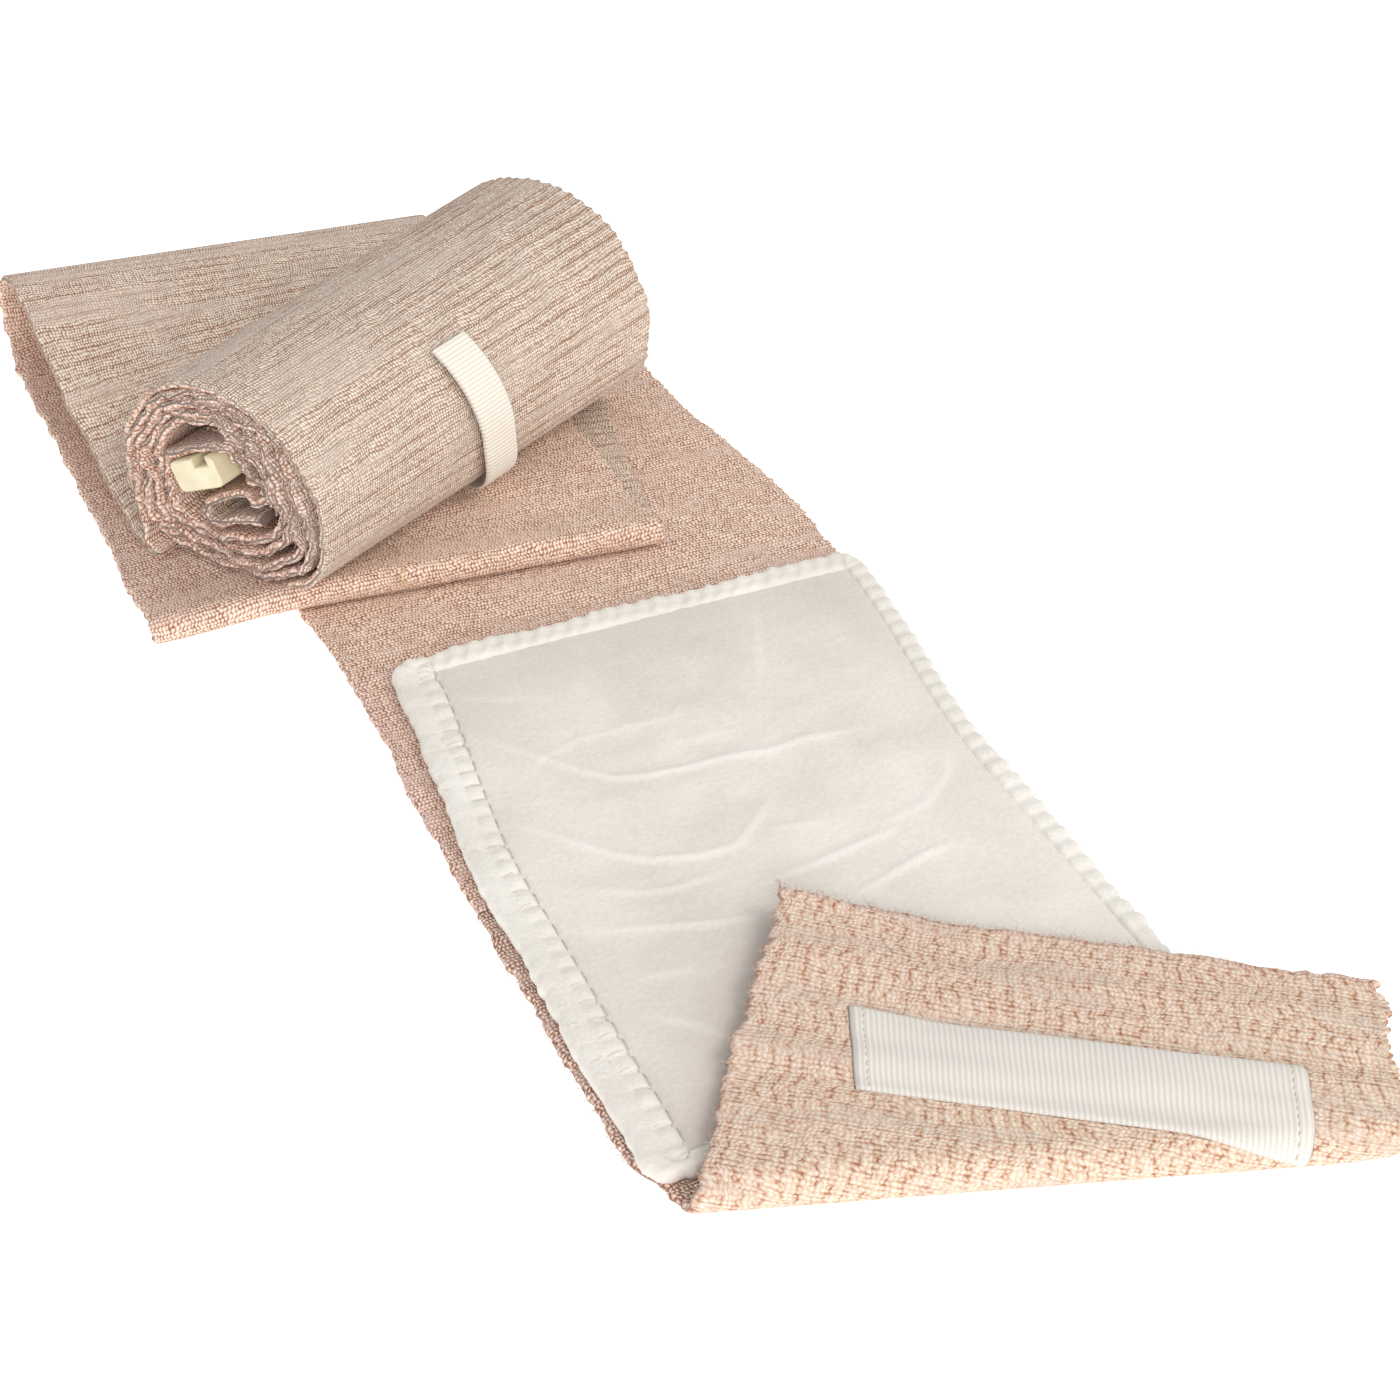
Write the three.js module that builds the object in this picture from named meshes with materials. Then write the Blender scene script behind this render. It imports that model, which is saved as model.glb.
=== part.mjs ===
// Emergency trauma bandage, half unrolled and laid on a flat surface: one long knitted elastic band
// with a dressing pad sewn on it, folded over at its near end, pleated behind the pad, looped back
// and wound up into a roll with a moulded closure bar in its core.
// Millimetres, +Z up. The origin lies on the floor under the middle of the dressing pad, +X runs
// across the band and +Y along it towards the roll.
import * as THREE from 'three';

// The knitted band
const BAND_WIDTH = 100;
const BAND_WALL = 1.7;
const LAYER_GAP = 0.3;
const BAND_COLUMNS = 6;
const RUN_STEP = 16;
const FLAT_MARGIN = 0.01;

// The near end, folded over the pad askew
const PAD_TO_NEAR_FOLD = 18.5;
const NEAR_FOLD_SKEW = 18;
const NEAR_FOLD_RADIUS = 2.9;
const NEAR_FOLD_STEPS = 8;
const NEAR_DRIFT = 2.8;
const FLAP_LENGTH = 45.5;
const FLAP_NARROWING = 5;
const FLAP_CURL_RISE = 3.5;
const FLAP_CURL_REACH = 45;
const FLAP_STEPS = 4;

// The pleat behind the pad
const PAD_TO_BACK_FOLD = 164.5;
const FAR_DRIFT = -3.3;
const BACK_FOLD_SKEW = 5.4;
const FRONT_FOLD_SKEW = 5.5;
const PLEAT_LENGTH = 141;
const PLEAT_BULGE_RADIUS = 1.8;
const PLEAT_BULGE_RELIEF = 8;
const PLEAT_BULGE_RUN = 8;
const PLEAT_RELIEF_STEPS = 3;
const UPPER_LAYER_RUN = 62;
const DROOP_START = 4;
const DROOP_SPAN = 26;

// The loop behind the roll
const LOOP_REACH = 120;
const LOOP_HEIGHT = 30;
const LOOP_STEPS_PER_SECTION = 3;

// The roll
const ROLL_HEADING = 32;
const ROLL_SETBACK = 1.8;
const ROLL_OVERHANG = 23.5;
const ROLL_LENGTH = 101.5;
const ROLL_WIDE = 52.5;
const ROLL_WIDE_AT_RIGHT = 54;
const ROLL_TALL = 41.5;
const ROLL_REST = 4.4;
const ROLL_REST_AT_RIGHT = 6.3;
const ROLL_WAIST = 17;
const ROLL_SQUARENESS = 2.6;
const ROLL_FRONT_BULGE = 12.5;
const ROLL_FRONT_BULGE_AT_RIGHT = 14;
const ROLL_START_ANGLE = -12;
const ROLL_END_ANGLE = 14;
const TURNS_TO_TOP = 0.25;
const TURNS_TO_BOTTOM = 0.75;
const ROLL_STEPS_PER_TURN = 22;
const CORE_SLACK = 1.3;
const CORE_DRIFT = 0.5;
const TAIL_RADIUS = 4;
const TAIL_LEAN = 12;
const TAIL_TURN = 53;
const TAIL_BEND_STEPS = 4;

// The closure bar in the core
const BAR_WIDE = 12.5;
const BAR_TALL = 6.5;
const BAR_LENGTH = 98;
const BAR_PROUD = 2;
const BAR_CORNER = 1.2;
const BAR_CORNER_STEPS = 4;
const BAR_GROOVE_WIDE = 4;
const BAR_GROOVE_DEEP = 1.8;
const BAR_GROOVE_PLACE = -2.5;

// The dressing pad and its hem
const PAD_WIDTH = 96.5;
const PAD_LENGTH = 139;
const PAD_EDGE = 2.4;
const PAD_CROWN = 0.7;
const PAD_CORNER = 5;
const PAD_SHIFT = -3;
const PAD_BEND = 6.3;
const PAD_ROWS = 30;
const PAD_COLUMNS = 20;
const HEM_WIDE = 4;
const HEM_WIDE_AT_LEFT = 8.5;
const HEM_TALL = 2.7;
const HEM_CORNER_STEPS = 4;
const HEM_INNER_CORNER = 0.5;
const HEM_SIDE_STEPS = 12;
const CREASE_DEPTH = 0.6;
const CREASE_WIDE = 5;
const CREASE_END_FADE = 0.08;

// The ivory tapes
const TAPE_WALL = 1;
const TAPE_GAP = 0.45;
const LEAD_TAPE_LENGTH = 70.5;
const LEAD_TAPE_WIDE = 17;
const LEAD_TAPE_FROM_EDGE = 24;
const LEAD_TAPE_FROM_SIDE = 15.5;
const LEAD_TAPE_TURN = 1;
const LEAD_TAPE_SLANT = 3.5;
const LEAD_TAPE_ROWS = 12;
const LEAD_TAPE_COLUMNS = 18;
const ROLL_TAPE_WIDE = 10;
const ROLL_TAPE_PLACE = 0.515;
const ROLL_TAPE_SLANT = 0.1;
const ROLL_TAPE_START = 132;
const ROLL_TAPE_END = 240;

const BAND_HALF = BAND_WIDTH / 2;
const LAYER_PITCH = BAND_WALL + LAYER_GAP;
const UP = new THREE.Vector3(0, 0, 1);

const radians = (degrees) => THREE.MathUtils.degToRad(degrees);
const mix = (from, to, share) => from + (to - from) * share;
const smooth = (value) => THREE.MathUtils.smoothstep(value, 0, 1);

// A ruling is one straight line across the band, with its left and right end and its place along it.
function ruling(left, right, travel, skew) {
  return { left, right, travel, skew };
}

function pointOnRuling(line, share) {
  return line.left.clone().lerp(line.right, share);
}

// Walks an unstretched band along its centre line, and notes a ruling at each step and fold.
class BandWalker {
  constructor(centre, along, across) {
    this.centre = centre.clone();
    this.along = along.clone();
    this.across = across.clone();
    this.travel = 0;
    this.rulings = [];
  }

  mark(skew) {
    const lean = this.along.clone().multiplyScalar(BAND_HALF * Math.tan(skew));
    const reach = this.across.clone().multiplyScalar(BAND_HALF).add(lean);
    this.rulings.push(
      ruling(this.centre.clone().sub(reach), this.centre.clone().add(reach), this.travel, skew),
    );
  }

  advance(length) {
    this.centre.addScaledVector(this.along, length);
    this.travel += length;
  }

  run(length, skewFrom, skewTo) {
    const steps = Math.max(1, Math.round(length / RUN_STEP));
    for (let step = 1; step <= steps; step += 1) {
      this.advance(length / steps);
      this.mark(mix(skewFrom, skewTo, step / steps));
    }
  }

  bend(turn, radius, skew, steps) {
    const facet = (radius * Math.abs(turn)) / steps / Math.cos(skew);
    for (let step = 0; step < steps; step += 1) {
      this.advance(facet / 2);
      this.mark(skew);
      const line = this.along.clone().multiplyScalar(Math.sin(skew));
      line.addScaledVector(this.across, Math.cos(skew));
      this.along.applyAxisAngle(line, turn / steps);
      this.across.applyAxisAngle(line, turn / steps);
      this.advance(facet / 2);
    }
  }
}

// Where the flat strip's two selvedges run, from the near fold to the back fold: along as a share of
// the pad's length from its middle, left and right as shares of half the band's width.
const STRIP_OUTLINE = [
  { name: 'near fold, right end', along: -0.77, left: -0.944, right: 1.056 },
  { name: 'near fold, left end', along: -0.54, left: -0.944, right: 0.98 },
  { name: 'pad near end', along: -0.42, left: -1.01, right: 0.91 },
  { name: 'pad middle', along: 0, left: -1, right: 0.87 },
  { name: 'pad far side', along: 0.17, left: -1, right: 0.94 },
  { name: 'pad far end', along: 0.5, left: -1.01, right: 1.015 },
  { name: 'behind the pad', along: 0.68, left: -1.04, right: 1.02 },
  { name: 'under the roll', along: 1.13, left: -1.05, right: 0.9 },
  { name: 'back fold', along: 1.65, left: -1.066, right: 0.934 },
];

function selvedge(side, y) {
  const along = y / PAD_LENGTH;
  const last = STRIP_OUTLINE.length - 1;
  let row = 0;
  while (row < last - 1 && STRIP_OUTLINE[row + 1].along < along) row += 1;
  const [from, to] = [STRIP_OUTLINE[row], STRIP_OUTLINE[row + 1]];
  const share = smooth((along - from.along) / (to.along - from.along));
  return BAND_HALF * mix(from[side], to[side], share);
}

// On the flat strip a ruling's ends go to the selvedges; past a fold the layers move by its drift.
function moveSideways(left, right, onStrip, drift) {
  left.x = onStrip ? selvedge('left', left.y) : left.x + drift;
  right.x = onStrip ? selvedge('right', right.y) : right.x + drift;
}

// The near end: from the middle of the pad to the skewed fold, and the flap back over the pad.
function nearRulings() {
  const start = new THREE.Vector3(0, 0, BAND_WALL / 2);
  const walker = new BandWalker(start, new THREE.Vector3(0, -1, 0), new THREE.Vector3(-1, 0, 0));
  const skew = -radians(NEAR_FOLD_SKEW);
  walker.run(PAD_LENGTH / 2 + PAD_TO_NEAR_FOLD, 0, skew);
  const foldStart = walker.travel + FLAT_MARGIN;
  walker.bend(Math.PI, NEAR_FOLD_RADIUS, skew, NEAR_FOLD_STEPS);
  const foldEnd = walker.travel;
  for (let step = 1; step <= FLAP_STEPS; step += 1) {
    walker.advance(FLAP_LENGTH / FLAP_STEPS);
    walker.mark(skew * (1 - step / FLAP_STEPS));
  }
  return walker.rulings.map((line) => {
    const flapShare = Math.max(0, (line.travel - foldEnd) / FLAP_LENGTH);
    const narrowing = (FLAP_NARROWING * flapShare) / BAND_WIDTH;
    const left = line.right.clone();
    const right = line.left.clone().lerp(line.right, narrowing);
    moveSideways(left, right, line.travel < foldStart, NEAR_DRIFT);
    return {
      left,
      right,
      travel: -line.travel,
      skew: line.skew,
      lift: flapShare > 0 ? flapCurl(walker.travel - line.travel) : () => 0,
    };
  });
}

// The free corner of the flap curls up a little at the left.
function flapCurl(fromEdge) {
  return (share) => {
    const distance = Math.hypot(fromEdge, share * BAND_WIDTH);
    return FLAP_CURL_RISE * Math.max(0, 1 - distance / FLAP_CURL_REACH) ** 2;
  };
}

// The far side: under the roll, and the pleat's two layers. One row for each fold.
const FAR_FOLDS = [
  {
    name: 'back fold',
    run: PAD_LENGTH / 2 + PAD_TO_BACK_FOLD,
    turn: 180,
    skew: BACK_FOLD_SKEW,
    radius: LAYER_PITCH / 2,
    steps: 6,
  },
  {
    name: 'front fold',
    run: PLEAT_LENGTH,
    turn: -180 - PLEAT_BULGE_RELIEF,
    skew: FRONT_FOLD_SKEW,
    radius: PLEAT_BULGE_RADIUS,
    steps: 8,
  },
];

function farRulings() {
  const start = new THREE.Vector3(0, 0, BAND_WALL / 2);
  const walker = new BandWalker(start, new THREE.Vector3(0, 1, 0), new THREE.Vector3(1, 0, 0));
  let skew = 0;
  for (const fold of FAR_FOLDS) {
    walker.run(fold.run, skew, -radians(fold.skew));
    skew = -radians(fold.skew);
    walker.bend(radians(fold.turn), fold.radius, skew, fold.steps);
  }
  const frontFold = walker.centre.clone().setX(walker.centre.x + FAR_DRIFT);
  walker.run(PLEAT_BULGE_RUN, skew, skew);
  const reliefDrop = walker.centre.z - BAND_WALL / 2 - 2 * LAYER_PITCH;
  const relief = radians(PLEAT_BULGE_RELIEF);
  walker.bend(relief, reliefDrop / (1 - Math.cos(relief)), skew, PLEAT_RELIEF_STEPS);
  walker.run(UPPER_LAYER_RUN, skew, 0);
  for (const line of walker.rulings) {
    moveSideways(line.left, line.right, line.travel < FAR_FOLDS[0].run + FLAT_MARGIN, FAR_DRIFT);
  }
  return { rulings: walker.rulings, frontFold };
}

// Where the pleat overhangs the strip's left side it droops to the floor.
function droop(point) {
  const beyond = -BAND_HALF - DROOP_START - point.x;
  return LAYER_PITCH * smooth(beyond / DROOP_SPAN);
}

// The roll's own frame: its left end over the pleat's front fold, its axis level in plan.
function rollFrame(frontFold) {
  const axis = new THREE.Vector3(Math.cos(radians(ROLL_HEADING)), Math.sin(radians(ROLL_HEADING)), 0);
  const back = UP.clone().cross(axis);
  const corner = new THREE.Vector3(frontFold.x - ROLL_OVERHANG, frontFold.y + ROLL_SETBACK, 0);
  return { axis, back, corner };
}

function rollPlace(frame, sideways, backward, height) {
  return frame.corner.clone()
    .addScaledVector(frame.axis, sideways)
    .addScaledVector(frame.back, backward)
    .addScaledVector(UP, height);
}

// Sizes of the outer turn's middle surface, at a share of the way from the left to the right end.
// It is egg shaped: rounded above its waist and squarer below, where it sags on what it rests on.
function rollSection(share) {
  const halfWide = (mix(ROLL_WIDE, ROLL_WIDE_AT_RIGHT, share) - BAND_WALL) / 2;
  const rest = mix(ROLL_REST, ROLL_REST_AT_RIGHT, share);
  return {
    halfWide,
    middle: halfWide + BAND_WALL / 2 - mix(ROLL_FRONT_BULGE, ROLL_FRONT_BULGE_AT_RIGHT, share),
    waist: rest + ROLL_WAIST,
    below: ROLL_WAIST - BAND_WALL / 2 + TURNS_TO_BOTTOM * LAYER_PITCH,
    above: ROLL_TALL - ROLL_WAIST - BAND_WALL / 2 + TURNS_TO_TOP * LAYER_PITCH,
  };
}

const CORE_HALF = Math.hypot(BAR_WIDE, BAR_TALL) / 2 + BAND_WALL / 2 + CORE_SLACK;
const ROLL_HALF = (rollSection(0).below + rollSection(0).above) / 2;
const WHOLE_TURNS = Math.floor((ROLL_HALF - CORE_HALF) / LAYER_PITCH);
const ROLL_TURNS = WHOLE_TURNS + (ROLL_END_ANGLE - ROLL_START_ANGLE) / 360;
const WIDE_PITCH = LAYER_PITCH + CORE_DRIFT;

// A point of the spiral's middle surface. The angle is 0 at the back, 90 on top and 180 in front.
function spiralPoint(frame, angle, share) {
  const section = rollSection(share);
  const turns = (angle - ROLL_START_ANGLE) / 360;
  const halfWide = section.halfWide - WIDE_PITCH * turns;
  const cosine = Math.cos(radians(angle));
  const sine = Math.sin(radians(angle));
  const power = sine < 0 ? 2 / ROLL_SQUARENESS : 1;
  const halfTall = (sine < 0 ? section.below : section.above) - LAYER_PITCH * turns;
  return rollPlace(
    frame,
    ROLL_LENGTH * share,
    section.middle + CORE_DRIFT * turns + halfWide * Math.sign(cosine) * Math.abs(cosine) ** power,
    section.waist + halfTall * Math.sign(sine) * Math.abs(sine) ** power,
  );
}

function rollRulings(frame) {
  const lines = [];
  const last = ROLL_START_ANGLE + 360 * ROLL_TURNS;
  const steps = Math.round(ROLL_TURNS * ROLL_STEPS_PER_TURN);
  for (let step = 0; step <= steps; step += 1) {
    const angle = mix(ROLL_START_ANGLE, last, step / steps);
    lines.push(ruling(spiralPoint(frame, angle, 0), spiralPoint(frame, angle, 1), 0, 0));
  }
  return lines;
}

// The tail leaves the last turn at the core's back, bends over and runs along the bar's top face.
function tailRulings(frame) {
  const ends = [0, 1].map((share) => spiralPoint(frame, ROLL_START_ANGLE + 360 * ROLL_TURNS, share));
  const lean = radians(TAIL_LEAN);
  const tailLine = (turn, run) => {
    const forward = TAIL_RADIUS * (Math.cos(lean) - Math.cos(lean + turn)) + run * Math.sin(lean + turn);
    const rise = TAIL_RADIUS * (Math.sin(lean + turn) - Math.sin(lean)) + run * Math.cos(lean + turn);
    const [left, right] = ends.map((end) => (
      end.clone().addScaledVector(frame.back, -forward).addScaledVector(UP, rise)
    ));
    return ruling(left, right, 0, 0);
  };
  const lines = [];
  for (let step = 1; step <= TAIL_BEND_STEPS; step += 1) {
    lines.push(tailLine(radians((TAIL_TURN * step) / TAIL_BEND_STEPS), 0));
  }
  for (const share of [0.5, 1]) {
    lines.push(tailLine(radians(TAIL_TURN), BAR_WIDE * share));
  }
  return lines;
}

// The loop's sections, as shares of half the band's width, of the loop's reach from the pleat's
// front fold, and of its height.
const LOOP_SECTIONS = [
  {
    name: 'lift off',
    leftOut: -1.02, leftBack: 0.84, leftUp: 0.1,
    rightOut: 1.02, rightBack: 0.82, rightUp: 0.16,
  },
  {
    name: 'back foot',
    leftOut: -1.02, leftBack: 0.98, leftUp: 0.27,
    rightOut: 1, rightBack: 1.02, rightUp: 0.23,
  },
  {
    name: 'back wall',
    leftOut: -1.03, leftBack: 0.98, leftUp: 0.63,
    rightOut: 0.96, rightBack: 1.07, rightUp: 0.37,
  },
  {
    name: 'shoulder',
    leftOut: -1.02, leftBack: 0.91, leftUp: 0.9,
    rightOut: 0.94, rightBack: 1.04, rightUp: 0.5,
  },
  {
    name: 'top',
    leftOut: -1.02, leftBack: 0.86, leftUp: 0.96,
    rightOut: 0.93, rightBack: 1, rightUp: 0.52,
  },
  {
    name: 'ramp start',
    leftOut: -1.01, leftBack: 0.79, leftUp: 0.92,
    rightOut: 0.93, rightBack: 0.93, rightUp: 0.5,
  },
];

// The sharp fold behind the roll, in the roll's frame: out sideways past its left or right end as a
// share of the band's width, back as a share of the roll's width, up as a share of its height.
const HEEL_SECTIONS = [
  {
    name: 'ramp foot',
    leftOut: -0.04, leftBack: 0.61, leftUp: 0.12,
    rightOut: -0.02, rightBack: 0.65, rightUp: 0.17,
  },
  {
    name: 'heel',
    leftOut: -0.04, leftBack: 0.56, leftUp: 0.14,
    rightOut: -0.02, rightBack: 0.6, rightUp: 0.19,
  },
  {
    name: 'heel top',
    leftOut: -0.04, leftBack: 0.61, leftUp: 0.17,
    rightOut: -0.02, rightBack: 0.65, rightUp: 0.22,
  },
  {
    name: 'back foot',
    leftOut: -0.02, leftBack: 0.675, leftUp: 0.27,
    rightOut: -0.01, rightBack: 0.705, rightUp: 0.29,
  },
  {
    name: 'back rise',
    leftOut: 0, leftBack: 0.725, leftUp: 0.4,
    rightOut: 0, rightBack: 0.745, rightUp: 0.43,
  },
];

function loopRulings(frontFold, frame, before, after) {
  const rows = [before];
  for (const row of LOOP_SECTIONS) {
    const place = (out, back, up) => new THREE.Vector3(
      frontFold.x + BAND_HALF * out,
      frontFold.y + LOOP_REACH * back,
      LOOP_HEIGHT * up,
    );
    const left = place(row.leftOut, row.leftBack, row.leftUp);
    const right = place(row.rightOut, row.rightBack, row.rightUp);
    rows.push(ruling(left, right, 0, 0));
  }
  for (const row of HEEL_SECTIONS) {
    const left = rollPlace(
      frame,
      ROLL_LENGTH * row.leftOut,
      ROLL_WIDE * row.leftBack,
      ROLL_TALL * row.leftUp,
    );
    const right = rollPlace(
      frame,
      ROLL_LENGTH * (1 + row.rightOut),
      ROLL_WIDE * row.rightBack,
      ROLL_TALL * row.rightUp,
    );
    rows.push(ruling(left, right, 0, 0));
  }
  rows.push(after);
  const edges = ['left', 'right'].map((side) => (
    new THREE.CatmullRomCurve3(rows.map((row) => row[side]), false, 'centripetal')
  ));
  const steps = (rows.length - 1) * LOOP_STEPS_PER_SECTION;
  const lines = [];
  for (let step = 1; step < steps; step += 1) {
    const [left, right] = edges.map((edge) => edge.getPoint(step / steps));
    lines.push(ruling(left, right, 0, 0));
  }
  return lines;
}

// Middle surface of the band: a grid of points, a row for each ruling.
function bandGrid(lines) {
  return lines.map((line) => {
    const row = [];
    for (let column = 0; column <= BAND_COLUMNS; column += 1) {
      const share = column / BAND_COLUMNS;
      const point = pointOnRuling(line, share);
      if (line.lift) point.z += line.lift(share);
      if (line.droops) point.z -= droop(point);
      row.push(point);
    }
    return row;
  });
}

// Unit normals of a grid, from its neighbours along and across.
function gridNormals(grid) {
  return grid.map((row, i) => row.map((point, j) => {
    const before = grid[Math.max(0, i - 1)][j];
    const after = grid[Math.min(grid.length - 1, i + 1)][j];
    const across = row[Math.min(row.length - 1, j + 1)].clone().sub(row[Math.max(0, j - 1)]);
    return across.cross(after.clone().sub(before)).normalize();
  }));
}

// A closed wall around a grid of points, from one offset to another along its normals.
function wallGeometry(grid, normals, inner, outer) {
  const rows = grid.length;
  const columns = grid[0].length;
  const positions = [];
  for (const offset of [inner, outer]) {
    for (let i = 0; i < rows; i += 1) {
      for (let j = 0; j < columns; j += 1) {
        const point = grid[i][j].clone().addScaledVector(normals[i][j], offset);
        positions.push(point.x, point.y, point.z);
      }
    }
  }
  const index = (side, i, j) => (side * rows + i) * columns + j;
  const triangles = [];
  const quad = (a, b, c, d) => triangles.push(a, b, c, a, c, d);
  for (let i = 0; i < rows - 1; i += 1) {
    for (let j = 0; j < columns - 1; j += 1) {
      quad(index(1, i, j), index(1, i, j + 1), index(1, i + 1, j + 1), index(1, i + 1, j));
      quad(index(0, i, j), index(0, i + 1, j), index(0, i + 1, j + 1), index(0, i, j + 1));
    }
    quad(index(0, i, 0), index(1, i, 0), index(1, i + 1, 0), index(0, i + 1, 0));
    const end = columns - 1;
    quad(index(0, i, end), index(0, i + 1, end), index(1, i + 1, end), index(1, i, end));
  }
  const last = rows - 1;
  for (let j = 0; j < columns - 1; j += 1) {
    quad(index(0, 0, j), index(0, 0, j + 1), index(1, 0, j + 1), index(1, 0, j));
    quad(index(0, last, j), index(1, last, j), index(1, last, j + 1), index(0, last, j + 1));
  }
  const geometry = closedGeometry(positions, triangles);
  geometry.computeVertexNormals();
  return geometry;
}

function settled(line) {
  const left = line.left.clone();
  left.z -= droop(left);
  return ruling(left, line.right, line.travel, line.skew);
}

const near = nearRulings().reverse();
const far = farRulings();
const roll = rollFrame(far.frontFold);
const middle = ruling(
  new THREE.Vector3(selvedge('left', 0), 0, BAND_WALL / 2),
  new THREE.Vector3(selvedge('right', 0), 0, BAND_WALL / 2),
  0,
  0,
);
const farLines = far.rulings.map((line) => ({ ...line, droops: line.travel > FAR_FOLDS[0].run }));
const spiral = rollRulings(roll);
const tail = tailRulings(roll);
const loop = loopRulings(far.frontFold, roll, settled(farLines[farLines.length - 1]), spiral[0]);
const bandLines = [...near, middle, ...farLines, ...loop, ...spiral, ...tail];
const band = bandGrid(bandLines);
const bandNormals = gridNormals(band);

function elasticBand() {
  return wallGeometry(band, bandNormals, -BAND_WALL / 2, BAND_WALL / 2);
}

// A tape lies on the band's outer face, just clear of it.
function tapeGeometry(grid, normals) {
  const lift = BAND_WALL / 2 + TAPE_GAP;
  return wallGeometry(grid, normals, -lift - TAPE_WALL, -lift);
}

// Looks up a place on the band by its travel and its share of the width, between two rulings.
function bandPlace(travel, share) {
  const flat = (line) => line.travel + (share - 0.5) * BAND_WIDTH * Math.tan(line.skew);
  const count = near.length;
  let row = 0;
  while (row < count - 1 && flat(bandLines[row + 1]) < travel) row += 1;
  const along = (travel - flat(bandLines[row])) / (flat(bandLines[row + 1]) - flat(bandLines[row]));
  return [band, bandNormals].map((rows) => {
    const ends = [row, row + 1].map((index) => pointInRow(rows[index], share));
    return ends[0].lerp(ends[1], along);
  });
}

function pointInRow(row, share) {
  const column = Math.min(BAND_COLUMNS - 1, Math.floor(share * BAND_COLUMNS));
  return row[column].clone().lerp(row[column + 1], share * BAND_COLUMNS - column);
}

function leadTape() {
  const [rows, columns] = [LEAD_TAPE_ROWS, LEAD_TAPE_COLUMNS];
  const turn = Math.tan(radians(LEAD_TAPE_TURN));
  const places = [];
  for (let i = 0; i <= rows; i += 1) {
    const line = [];
    for (let j = 0; j <= columns; j += 1) {
      const sideways = (LEAD_TAPE_LENGTH * j) / columns;
      const inward = (LEAD_TAPE_WIDE * i) / rows;
      const slant = LEAD_TAPE_SLANT * (i / rows) * (1 - j / columns);
      const share = (LEAD_TAPE_FROM_SIDE + sideways + slant + inward * turn) / BAND_WIDTH;
      line.push(bandPlace(bandLines[0].travel + LEAD_TAPE_FROM_EDGE + inward - sideways * turn, share));
    }
    places.push(line);
  }
  const pick = (which) => places.map((line) => line.map((place) => place[which]));
  return tapeGeometry(pick(0), pick(1).map((line) => line.map((normal) => normal.normalize())));
}

function rollTape() {
  const firstRow = near.length + 1 + farLines.length + loop.length;
  const rowAt = (angle) => firstRow + Math.round(((angle - ROLL_START_ANGLE) / 360) * ROLL_STEPS_PER_TURN);
  const [first, last] = [rowAt(ROLL_TAPE_START), rowAt(ROLL_TAPE_END)];
  const cut = (rows) => rows.slice(first, last + 1).map((row, number) => {
    const slant = ROLL_TAPE_SLANT * (number / (last - first) - 0.5);
    return [-0.5, 0, 0.5].map((side) => (
      pointInRow(row, ROLL_TAPE_PLACE + slant + side * (ROLL_TAPE_WIDE / ROLL_LENGTH))
    ));
  });
  return tapeGeometry(cut(band), cut(bandNormals));
}

// The closure bar: a moulded channel with rounded corners, a groove along its top face.
function closureBar() {
  const across = BAR_WIDE / 2;
  const tall = BAR_TALL / 2;
  const outline = new THREE.Shape();
  outline.moveTo(-across + BAR_CORNER, -tall);
  outline.lineTo(across - BAR_CORNER, -tall);
  outline.quadraticCurveTo(across, -tall, across, -tall + BAR_CORNER);
  outline.lineTo(across, tall - BAR_CORNER);
  outline.quadraticCurveTo(across, tall, across - BAR_CORNER, tall);
  outline.lineTo(BAR_GROOVE_PLACE + BAR_GROOVE_WIDE / 2, tall);
  outline.lineTo(BAR_GROOVE_PLACE + BAR_GROOVE_WIDE / 2, tall - BAR_GROOVE_DEEP);
  outline.lineTo(BAR_GROOVE_PLACE - BAR_GROOVE_WIDE / 2, tall - BAR_GROOVE_DEEP);
  outline.lineTo(BAR_GROOVE_PLACE - BAR_GROOVE_WIDE / 2, tall);
  outline.lineTo(-across + BAR_CORNER, tall);
  outline.quadraticCurveTo(-across, tall, -across, tall - BAR_CORNER);
  outline.lineTo(-across, -tall + BAR_CORNER);
  outline.quadraticCurveTo(-across, -tall, -across + BAR_CORNER, -tall);
  const geometry = new THREE.ExtrudeGeometry(outline, {
    depth: BAR_LENGTH,
    steps: 1,
    bevelEnabled: false,
    curveSegments: BAR_CORNER_STEPS,
  });
  const [runStart, runEnd] = [tail[TAIL_BEND_STEPS - 1], tail[tail.length - 1]];
  const seat = runStart.left.clone().lerp(runEnd.left, 0.5);
  const seatRight = runStart.right.clone().lerp(runEnd.right, 0.5);
  const axis = seatRight.sub(seat).normalize();
  const outward = axis.clone().cross(runEnd.left.clone().sub(runStart.left)).negate().normalize();
  const forward = outward.clone().cross(axis);
  geometry.applyMatrix4(new THREE.Matrix4().makeBasis(forward, outward, axis));
  const drop = BAND_WALL / 2 + LAYER_GAP + tall;
  seat.addScaledVector(axis, -BAR_PROUD).addScaledVector(outward, -drop);
  geometry.translate(seat.x, seat.y, seat.z);
  return geometry;
}

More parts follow.
